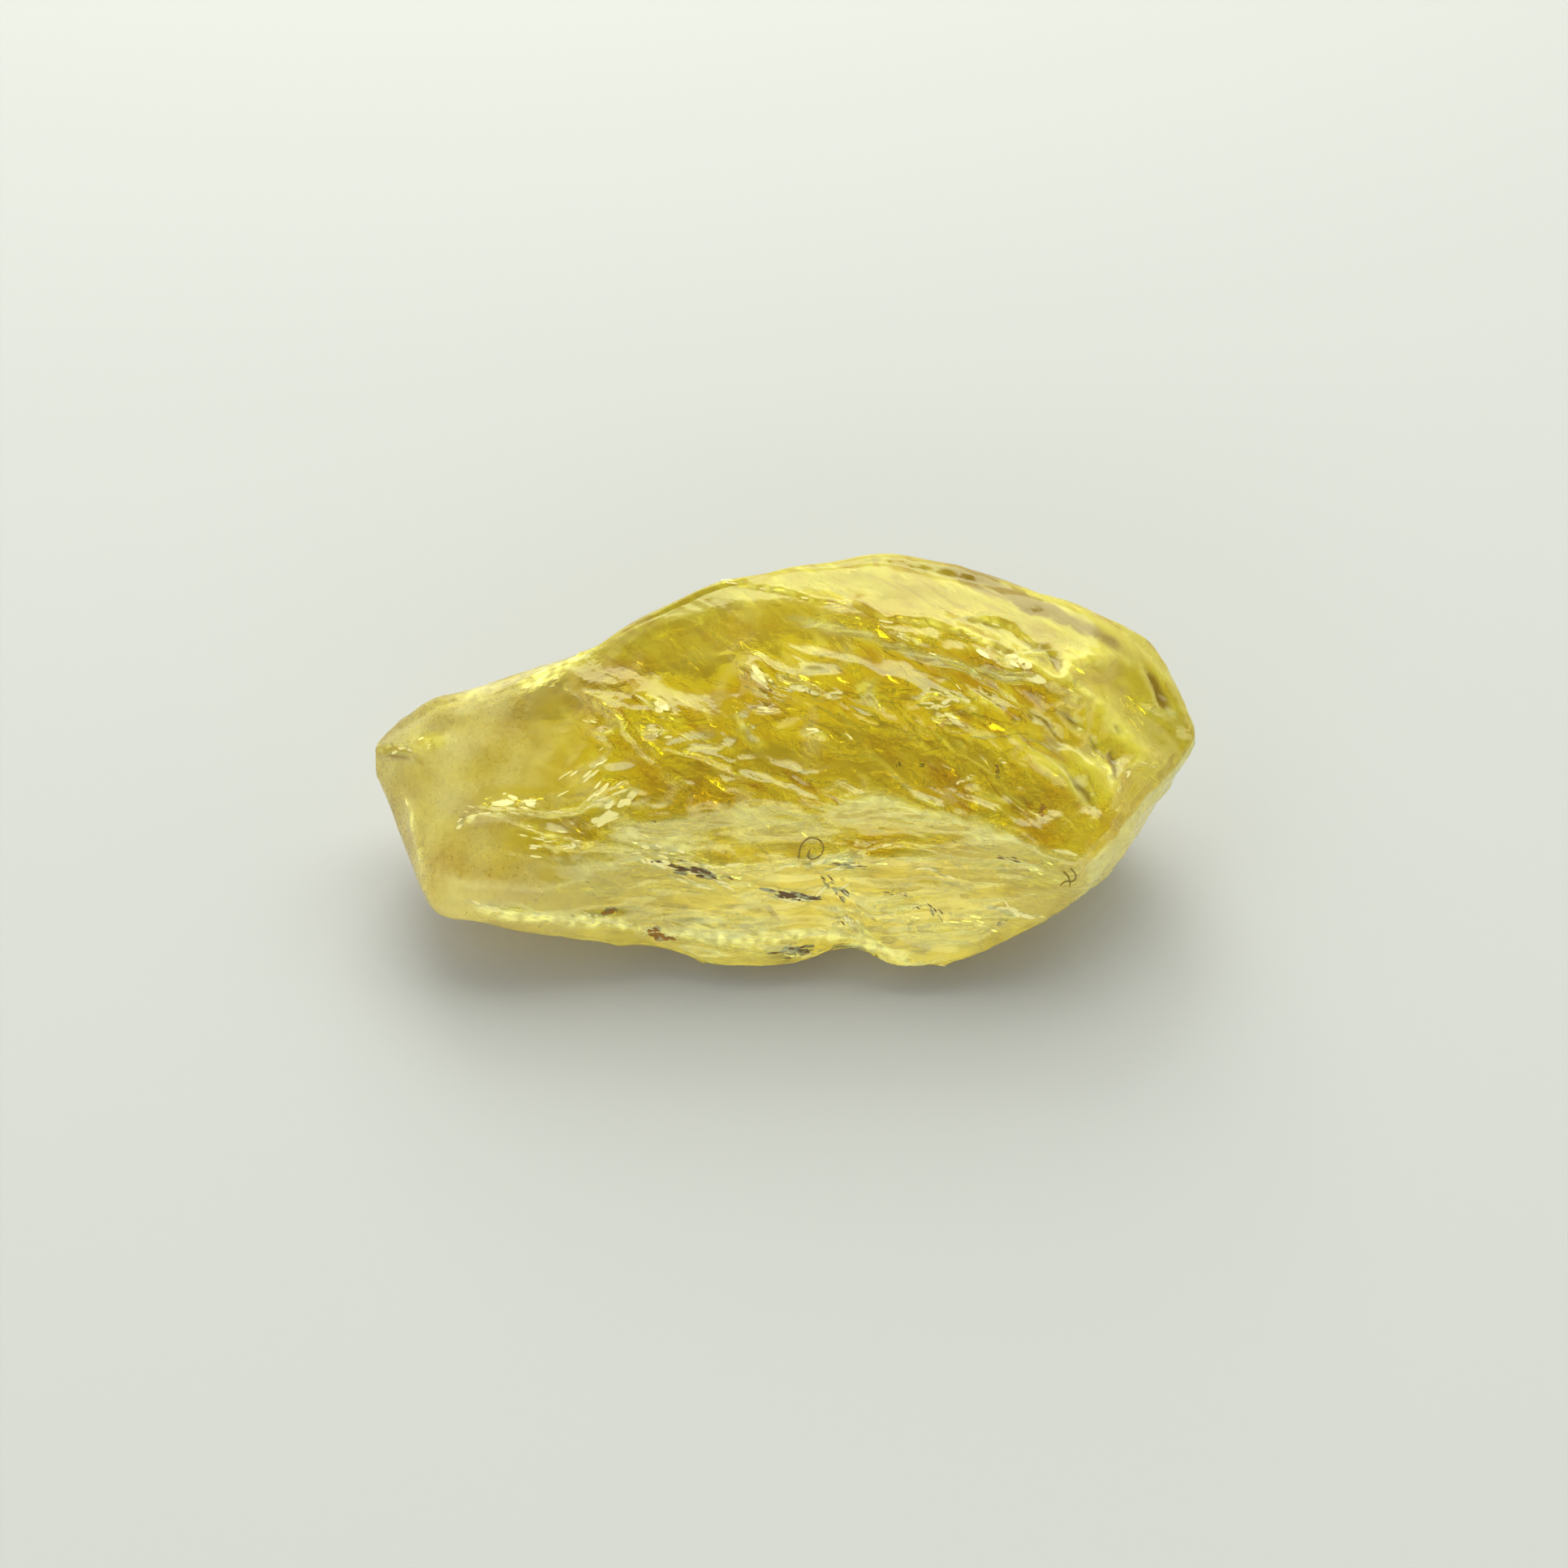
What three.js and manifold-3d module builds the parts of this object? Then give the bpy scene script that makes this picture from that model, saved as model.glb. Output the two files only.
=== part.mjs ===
// A rough golden danburite crystal, one broken and naturally etched piece, lying on its flattest side.
// Millimetres, +Z up, +X along the crystal. The origin is under the middle of the crystal's box, on the
// surface that it rests on.
import * as THREE from "three";
import { ImprovedNoise } from "three/addons/math/ImprovedNoise.js";
import { mergeVertices } from "three/addons/utils/BufferGeometryUtils.js";
import Module from "manifold-3d";

// Driving sizes
const LENGTH = 22;
const SURFACE_DETAIL = 19; // how finely the starting ball is divided
const FOOT_CUT = 0.12; // how much of the bulging underside is worn off flat
const WEAR_PASSES = 2; // how far the long edges are rounded off
const WEAR_LEFT = 0.6; // share of rounding per pass at the etched left end
const WEAR_RIGHT = 0.25; // and at the fresher right end
const BODY_COLOUR = 0xd2b93c;
const SAME_PLACE = 1e-4; // vertices nearer than this are one

// Sections across the crystal, from left to right. Each goes round by way of the back, the top and the front,
// and every face runs along the crystal between two neighbouring places, [y, z].
const LEFT_TIP = [-11.0, 0.45, 2.95];
const RIGHT_TIP = [11.0, 0.4, 3.7];
const TIGHTNESS = 0.5; // of the curves through the sections
const SECTIONS = [
  {
    x: -10.5,
    back: [[0.8, 2.1], [1.1, 2.7], [1.1, 3.2]],
    top: [[0.8, 3.5], [0.5, 3.6], [0.2, 3.4]],
    front: [[-0.2, 3.1], [-0.5, 2.8], [-0.5, 2.4]],
    under: [[-0.1, 2.1], [0.5, 1.9]],
  },
  {
    x: -9.4,
    back: [[0.9, 1.2], [1.5, 2.3], [1.4, 3.8]],
    top: [[0.8, 4.4], [0.3, 4.45], [-0.5, 4.1]],
    front: [[-1.7, 3.5], [-3.0, 2.9], [-3.6, 1.7]],
    under: [[-3.0, 1.0], [-1.0, 0.7]],
  },
  {
    x: -7.8,
    back: [[0.6, 0.7], [1.9, 2.2], [1.8, 4.4]],
    top: [[0.8, 5.1], [0.3, 5.1], [-1.0, 4.6]],
    front: [[-2.3, 3.9], [-3.9, 2.9], [-4.3, 1.5]],
    under: [[-3.4, 0.7], [-1.0, 0.35]],
  },
  {
    x: -5.7,
    back: [[1.0, 0.3], [2.4, 2.0], [2.1, 4.9]],
    top: [[1.3, 5.7], [0.8, 5.65], [-0.8, 5.0]],
    front: [[-2.5, 4.1], [-4.0, 2.7], [-4.3, 1.1]],
    under: [[-3.5, 0.3], [-0.8, 0.0]],
  },
  {
    x: -3.6,
    back: [[1.8, 0.0], [3.4, 2.0], [3.1, 5.4]],
    top: [[2.2, 6.5], [1.7, 6.4], [-0.4, 5.5]],
    front: [[-2.7, 4.2], [-3.3, 3.0], [-4.4, 0.8]],
    under: [[-3.5, 0.0], [-0.4, -0.2]],
  },
  {
    x: -1.4,
    back: [[3.0, 0.0], [4.5, 2.0], [3.9, 5.8]],
    top: [[3.0, 7.0], [2.3, 6.9], [-0.1, 5.8]],
    front: [[-2.5, 4.4], [-3.5, 2.9], [-4.8, 0.3]],
    under: [[-4.0, 0.0], [-0.3, -0.2]],
  },
  {
    x: 0.9,
    back: [[3.7, 0.0], [5.0, 2.2], [4.3, 6.0]],
    top: [[3.5, 7.2], [2.0, 7.0], [-0.3, 5.9]],
    front: [[-2.4, 4.5], [-3.4, 3.1], [-4.6, 0.5]],
    under: [[-3.8, 0.0], [0.0, -0.2]],
  },
  {
    x: 3.2,
    back: [[3.9, 0.0], [5.2, 2.4], [4.5, 6.0]],
    top: [[3.6, 7.2], [1.3, 6.9], [-0.7, 5.8]],
    front: [[-2.4, 4.5], [-3.3, 3.3], [-5.0, 0.5]],
    under: [[-3.9, 0.0], [0.0, -0.2]],
  },
  {
    x: 5.6,
    back: [[3.2, 0.0], [4.6, 2.4], [4.0, 5.7]],
    top: [[3.1, 6.9], [0.7, 6.4], [-1.0, 5.4]],
    front: [[-2.9, 4.2], [-3.7, 3.0], [-4.5, 1.0]],
    under: [[-3.3, 0.0], [0.0, -0.1]],
  },
  {
    x: 7.9,
    back: [[1.9, 0.5], [3.6, 2.6], [3.5, 5.1]],
    top: [[2.8, 6.4], [0.7, 5.9], [-1.1, 4.8]],
    front: [[-3.6, 3.7], [-3.9, 2.8], [-3.5, 2.0]],
    under: [[-2.2, 0.6], [0.0, 0.3]],
  },
  {
    x: 10.1,
    back: [[1.0, 2.0], [2.2, 3.0], [2.5, 4.1]],
    top: [[1.8, 5.2], [0.9, 4.9], [0.2, 4.2]],
    front: [[-0.4, 3.6], [-0.7, 3.2], [-0.8, 2.8]],
    under: [[-0.2, 2.2], [0.3, 2.0]],
  },
];
// The turn of each place about the length, in degrees from +Y towards +Z, in the same order.
const TURNS = [-39, -11, 30, 49, 72, 110, 150, 178, 206, 220, 270];

// Shell-shaped hollows that breaking left. Where two meet, a sharp rib stands between them.
const HOLLOWS = [
  // left end
  { at: [-9.9, -1.5, 3.2], reach: 1.5, depth: 0.3 },
  // front face, with the notch in its lower rim first
  { at: [1.8, -4.7, 0.6], reach: 1.1, depth: 0.48 },
  { at: [-5.2, -4.2, 2.2], reach: 1.5, depth: 0.15 },
  { at: [-2.9, -4.2, 1.7], reach: 1.7, depth: 0.2 },
  { at: [5.9, -4.0, 2.6], reach: 1.8, depth: 0.2 },
  // top
  { at: [-5.9, 0.6, 5.8], reach: 1.6, depth: 0.15 },
  { at: [-2.5, 0.6, 6.1], reach: 2.0, depth: 0.25 },
  { at: [-0.1, -0.8, 5.8], reach: 1.7, depth: 0.2 },
  { at: [3.9, -0.9, 5.7], reach: 2.2, depth: 0.22 },
  { at: [6.4, -2.0, 4.8], reach: 1.8, depth: 0.28 },
  { at: [5.0, 1.9, 6.9], reach: 1.9, depth: 0.1 },
  // right end
  { at: [8.9, -0.1, 5.0], reach: 1.9, depth: 0.35 },
  // back face
  { at: [-6.0, 2.4, 3.4], reach: 2.2, depth: 0.3 },
  { at: [-1.9, 4.3, 3.8], reach: 2.4, depth: 0.35 },
  { at: [2.6, 5.0, 3.6], reach: 2.6, depth: 0.3 },
  { at: [6.9, 4.0, 3.9], reach: 2.4, depth: 0.35 },
  { at: [9.6, 2.0, 2.6], reach: 1.8, depth: 0.25 },
  // underside
  { at: [-7.4, -1.2, 0.4], reach: 2.0, depth: 0.3 },
  { at: [7.6, -1.4, 0.5], reach: 2.1, depth: 0.3 },
];

// Small chips all over, spread evenly by the golden angle.
const CHIPS = 90;
const CHIP_REACH = [0.6, 1.3]; // least and most
const CHIP_DEPTH = 0.11; // for each millimetre of reach
const GOLDEN_ANGLE = 137.5;
const GOLDEN_SHARE = 0.618;

// Ledges: the surface drops along the path, on the side that down points to, and comes level again
// over the run.
const LEDGES = [
  // across the left of the top
  {
    path: [[-8.1, -2.4, 3.9], [-6.6, -2.6, 4.1], [-5.4, -2.6, 4.3], [-4.0, -2.2, 4.6]],
    down: [0, -1, -0.6],
    drop: 0.16,
    run: 1.0,
  },
  // the front of the pale facet beside the crest
  {
    path: [[0.7, 1.6, 7.0], [2.8, 0.9, 6.8], [4.5, 0.5, 6.6], [6.0, 0.3, 6.3]],
    down: [0, -1, -0.5],
    drop: 0.2,
    run: 1.2,
  },
  // at the left tip
  { path: [[-10.6, 0, 3.4], [-9.7, -0.45, 4.1]], down: [0.2, -0.8, -0.5], drop: 0.14, run: 0.6 },
  // on the back face
  { path: [[-3.5, 3.2, 4.4], [0.5, 4.6, 4.6], [4.5, 4.6, 4.3]], down: [0, 0.3, -1], drop: 0.2, run: 1.3 },
];

// Ridges that stand up along a path.
const RIDGES = [
  // bevel of the front face
  {
    path: [[-4.0, -3.4, 3.3], [-1.9, -3.6, 3.0], [1.4, -3.4, 3.3], [4.9, -3.5, 3.4]],
    height: 0.13,
    reach: 0.6,
  },
  // from the crest down the right end
  { path: [[7.0, 0.6, 6.2], [7.9, -0.8, 5.2], [9.0, -2.1, 3.6]], height: 0.16, reach: 0.6 },
  // across the lower left of the front face
  { path: [[-8.2, -3.9, 1.8], [-5.6, -4.2, 1.6], [-3.8, -4.2, 1.4]], height: 0.12, reach: 0.5 },
];

// Unevenness that etching left all over
const ETCH_DEPTH = 0.09;
const ETCH_SIZE = 1.5; // size of one swelling

const DEGREE = Math.PI / 180;
const clamp = THREE.MathUtils.clamp;
const lerp = THREE.MathUtils.lerp;

// One smooth curve for each place of the sections, so that a share of its run finds the same section on all.
const edgeCurves = TURNS.map((turn, k) => {
  const places = SECTIONS.map(({ x, back, top, front, under }) => {
    const [y, z] = [...back, ...top, ...front, ...under][k];
    return new THREE.Vector3(x, y, z);
  });
  const run = [new THREE.Vector3(...LEFT_TIP), ...places, new THREE.Vector3(...RIGHT_TIP)];
  return new THREE.CatmullRomCurve3(run, false, "catmullrom", TIGHTNESS);
});

// The point of the faces at a share of the way along, at a turn about the length.
function pointOnFaces(along, turn) {
  const first = TURNS[0];
  const wrapped = first + ((((turn - first) % 360) + 360) % 360);
  let k = TURNS.length - 1;
  while (TURNS[k] > wrapped) k -= 1;
  const next = (k + 1) % TURNS.length;
  const end = next === 0 ? first + 360 : TURNS[next];
  const share = (wrapped - TURNS[k]) / (end - TURNS[k]);
  return edgeCurves[k].getPoint(along).lerp(edgeCurves[next].getPoint(along), share);
}

// A closed ball of even triangles, each vertex moved out to the faces.
function flatFacedBody() {
  const ball = new THREE.IcosahedronGeometry(1, SURFACE_DETAIL);
  ball.deleteAttribute("normal");
  ball.deleteAttribute("uv");
  const body = mergeVertices(ball, SAME_PLACE);
  const position = body.attributes.position;
  for (let i = 0; i < position.count; i += 1) {
    const [x, y, z] = [position.getX(i), position.getY(i), position.getZ(i)];
    const along = Math.acos(clamp(-x, -1, 1)) / Math.PI;
    const p = pointOnFaces(along, Math.atan2(z, y) / DEGREE);
    position.setXYZ(i, p.x, p.y, p.z);
  }
  return body;
}

// The vertices that share an edge with each vertex.
function neighboursOf(body) {
  const found = Array.from({ length: body.attributes.position.count }, () => new Set());
  const index = body.index.array;
  for (let i = 0; i < index.length; i += 3) {
    for (let k = 0; k < 3; k += 1) {
      found[index[i + k]].add(index[i + ((k + 1) % 3)]);
      found[index[i + ((k + 1) % 3)]].add(index[i + k]);
    }
  }
  return found;
}

// Etching and wear: every vertex moves part of the way to the middle of its neighbours.
function wearEdges(body) {
  const position = body.attributes.position;
  const neighbours = neighboursOf(body);
  for (let pass = 0; pass < WEAR_PASSES; pass += 1) {
    const before = position.array.slice();
    for (let i = 0; i < position.count; i += 1) {
      const right = clamp(before[3 * i] / LENGTH + 0.5, 0, 1);
      const wear = lerp(WEAR_LEFT, WEAR_RIGHT, right);
      for (let axis = 0; axis < 3; axis += 1) {
        let sum = 0;
        for (const n of neighbours[i]) sum += before[3 * n + axis];
        const middle = sum / neighbours[i].size;
        position.array[3 * i + axis] = lerp(before[3 * i + axis], middle, wear);
      }
    }
  }
}

// The chips in the form of the hollows.
function makeChips() {
  return Array.from({ length: CHIPS }, (_, k) => {
    const along = Math.acos(1 - (2 * (k + 0.5)) / CHIPS) / Math.PI;
    const reach = lerp(...CHIP_REACH, (k * GOLDEN_SHARE) % 1);
    return { at: pointOnFaces(along, k * GOLDEN_ANGLE).toArray(), reach, depth: CHIP_DEPTH * reach };
  });
}

// How near a point is to a path, and which way it lies from there.
function offPath(point, path) {
  let nearest = Infinity;
  const off = new THREE.Vector3();
  for (let i = 1; i < path.length; i += 1) {
    const piece = new THREE.Line3(new THREE.Vector3(...path[i - 1]), new THREE.Vector3(...path[i]));
    const foot = piece.closestPointToPoint(point, true, new THREE.Vector3());
    const distance = foot.distanceTo(point);
    if (distance < nearest) {
      nearest = distance;
      off.subVectors(point, foot);
    }
  }
  return { nearest, off };
}

// How far the surface lies below the plain faces at a point.
const noise = new ImprovedNoise();
const hollows = [...HOLLOWS, ...makeChips()];
function reliefAt(point) {
  let hollow = 0;
  for (const { at, reach, depth } of hollows) {
    const share = point.distanceTo(new THREE.Vector3(...at)) / reach;
    hollow = Math.max(hollow, depth * (1 - share * share));
  }
  let depth = hollow;
  for (const { path, down, drop, run } of LEDGES) {
    const { nearest, off } = offPath(point, path);
    if (off.dot(new THREE.Vector3(...down)) > 0) depth += drop * Math.max(0, 1 - nearest / run);
  }
  for (const { path, height, reach } of RIDGES) {
    depth -= height * Math.max(0, 1 - offPath(point, path).nearest / reach);
  }
  const swelling = noise.noise(point.x / ETCH_SIZE, point.y / ETCH_SIZE, point.z / ETCH_SIZE);
  return depth + ETCH_DEPTH * swelling;
}

// Moves every vertex in or out along its normal by the relief there.
function carveRelief(body) {
  body.computeVertexNormals();
  const { position, normal } = body.attributes;
  const point = new THREE.Vector3();
  const out = new THREE.Vector3();
  for (let i = 0; i < position.count; i += 1) {
    point.fromBufferAttribute(position, i);
    out.fromBufferAttribute(normal, i);
    point.addScaledVector(out, -reliefAt(point));
    position.setXYZ(i, point.x, point.y, point.z);
  }
  body.deleteAttribute("normal");
}

const wasm = await Module();
wasm.setup();

function solidOf(geometry) {
  const merged = mergeVertices(geometry, SAME_PLACE);
  return new wasm.Manifold(
    new wasm.Mesh({
      numProp: 3,
      vertProperties: merged.attributes.position.array,
      triVerts: merged.index.array,
    }),
  );
}

function geometryOf(solid) {
  const mesh = solid.getMesh();
  const geometry = new THREE.BufferGeometry();
  geometry.setAttribute("position", new THREE.BufferAttribute(mesh.vertProperties, 3));
  geometry.setIndex(new THREE.BufferAttribute(mesh.triVerts, 1));
  return geometry;
}

// Takes the lowest part of the underside off flat, which is the face that the crystal rests on.
function withFlatFoot(body) {
  body.computeBoundingBox();
  const low = body.boundingBox.min.z + FOOT_CUT;
  const slab = new THREE.BoxGeometry(2 * LENGTH, 2 * LENGTH, LENGTH);
  slab.deleteAttribute("normal");
  slab.deleteAttribute("uv");
  slab.translate(0, 0, low - LENGTH / 2);
  return geometryOf(solidOf(body).subtract(solidOf(slab)));
}

// Makes up the length that wear and chips took off, and puts the origin under the middle of the box.
function atTrueSize(geometry) {
  geometry.computeBoundingBox();
  const { min, max } = geometry.boundingBox;
  geometry.translate(-(min.x + max.x) / 2, -(min.y + max.y) / 2, -min.z);
  const growth = LENGTH / (max.x - min.x);
  return geometry.scale(growth, growth, growth);
}

function makeCrystal() {
  const body = flatFacedBody();
  wearEdges(body);
  carveRelief(body);
  const geometry = atTrueSize(withFlatFoot(body));
  geometry.computeVertexNormals();
  const material = new THREE.MeshStandardMaterial({ color: BODY_COLOUR, roughness: 0.2, metalness: 0 });
  const crystal = new THREE.Mesh(geometry, material);
  crystal.name = "crystal";
  return crystal;
}

const danburite = new THREE.Group();
danburite.add(makeCrystal());
export default danburite;
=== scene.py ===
"""A rough golden danburite crystal lying on pale paper: its looks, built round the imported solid."""
import math

import bmesh
import bpy
import numpy as np
from mathutils import Matrix, Vector, noise
from mathutils.bvhtree import BVHTree


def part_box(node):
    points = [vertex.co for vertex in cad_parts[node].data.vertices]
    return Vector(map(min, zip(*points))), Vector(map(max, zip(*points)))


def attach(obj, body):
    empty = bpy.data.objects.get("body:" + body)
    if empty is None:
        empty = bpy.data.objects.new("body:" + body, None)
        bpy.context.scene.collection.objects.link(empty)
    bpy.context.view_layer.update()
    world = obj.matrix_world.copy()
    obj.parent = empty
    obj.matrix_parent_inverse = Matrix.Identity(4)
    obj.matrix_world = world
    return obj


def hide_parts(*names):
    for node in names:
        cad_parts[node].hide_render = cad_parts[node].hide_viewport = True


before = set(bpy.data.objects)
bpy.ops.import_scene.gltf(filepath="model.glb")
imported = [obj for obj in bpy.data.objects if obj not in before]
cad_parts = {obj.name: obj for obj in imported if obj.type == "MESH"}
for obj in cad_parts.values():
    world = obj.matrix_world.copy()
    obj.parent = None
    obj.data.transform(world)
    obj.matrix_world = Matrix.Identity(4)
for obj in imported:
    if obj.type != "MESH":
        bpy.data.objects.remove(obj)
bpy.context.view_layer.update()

MM = 0.001
BODY = "root"

# The kinds of node that are used most
MATH = "ShaderNodeMath"
VECTOR_MATH = "ShaderNodeVectorMath"
MIX = "ShaderNodeMix"
NOISE = "ShaderNodeTexNoise"
PRINCIPLED = "ShaderNodeBsdfPrincipled"
OUTPUT = "ShaderNodeOutputMaterial"

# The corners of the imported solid's box
LOW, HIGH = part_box("crystal")

# Colours, as sRGB hex
PAPER = "B3AEC8"
DAYLIGHT = "F5FFD6"
AIR_FILM = "FFF8C4"
CLEAR_SKIN = "FFF05C"
# Paler tint of faces turned to the front: partly a painted sheen of the bright room they mirror, partly veils
FRONT_SKIN_AND_SHEEN = "FCFCC4"
TAN_SKIN = "AC842E"
PALE_SKIN = "F8ECBE"
# Cream of bruised edges, used as a painted highlight along edges that catch the light
BRUISE_AND_HIGHLIGHT = "FFF296"
CRUSHED = "FCE48A"
SUGAR = "FFF2CC"
DEEP_STREAK = "CFA040"
GOLD_PATCH = "E4BE3C"
KHAKI_STREAK = "CFC270"
# Brown of old stain, also used as painted shade in grooves and under steps
BROWN_STAIN_AND_SHADE = "8A6C22"
RUST = "70480E"
MANGANESE = "4A3016"
LINT = "5E4A2E"

# How strongly the crystal bends light, and the colour that it lets through: it takes almost no red, a little
# green and most of the blue on each millimetre of the way
DANBURITE_IOR = 1.633
LET_THROUGH = (0.9987, 0.980, 0.0, 1)

# The room's light from the sides and from above, the share of it that is left in the shade over the crystal,
# the way to the shade's middle, and the degrees from there where its soft edge starts and ends
HORIZON_LIGHT = 1.55
ZENITH_LIGHT = 1.25
SHADE_SHARE = 0.12
SHADE_WAY = (0.25, -0.5, 0.83)
SHADE_EDGE = (30, 60)

# Soft-edged bright parts of the room: the way to the middle of each, how far it reaches to the sides and up,
# and its light. One is a window behind, the other the bright wall in front, which the front face mirrors.
BRIGHT_PARTS = [
    ((0.11, 0.58, 0.81), (0.62, 0.38), 3.2),
    ((0.0, -0.97, 0.25), (0.88, 0.36), 1.8),
]

# The lamp behind the crystal: its place and its sides in metres, and its radiance
LAMP_PLACE = (-0.015, 0.105, 0.065)
LAMP_SIDES = (0.07, 0.06)
LAMP_RADIANCE = 9.0

# The camera: as high over the paper as the photograph's, and square on to the crystal's length
PHOTO_SIDE = 1932
ELEVATION = math.radians(50)
DISTANCE = 90 * MM
WIDE = 42.4 * MM
TARGET = Vector((-0.023, 0.076, 2.264)) * MM
TOWARD_CAMERA = Vector((0, -math.cos(ELEVATION), math.sin(ELEVATION)))
PIXELS_PER_MM = PHOTO_SIDE * MM / WIDE

# The way that the splinters of the broken top run, and the way of the growth lines along the front
SPLINTER_WAY = (0.80, -0.55, -0.22)
GROWTH_WAY = (0.99, -0.05, 0.03)

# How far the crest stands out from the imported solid, to meet the photograph's outline: the place along its
# length and the lift there, both in millimetres
CREST_LIFT = [(-10.9, 0.0), (-10.2, 0.25), (-9.5, 0.28), (-8.0, 0.10), (-6.5, 0.22), (-5.0, 0.03),
              (-2.9, 0.18), (-1.5, 0.18), (-0.5, 0.04), (2.0, 0.15), (4.5, 0.34), (6.8, 0.04), (8.3, 0.02),
              (9.6, 0.24), (10.6, 0.0)]

# What the skin notes at every point, from 0 to 1: how rough it is, how much it is the tan old skin, how
# splintered it is, how much it has the pale front tint, which is partly a painted sheen, how milky it is, how
# bruised it is, which is partly painted highlight along lit edges, and how stained it is, which is partly
# painted shade
SKIN_LAYERS = ("frost", "weathered", "splintered", "front", "milky", "bruise_and_highlight", "stain_and_shade")

# The breaks below are drawn this many times as high as the table says, so that they show in a render. The
# tallest step that they make where several meet, and the width of their bruised edge with its painted
# highlight, are in millimetres.
BREAK_SCALE = 1.6
TALLEST_STEP = 0.24
BRUISE_AND_HIGHLIGHT_WIDTH = 0.06
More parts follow.
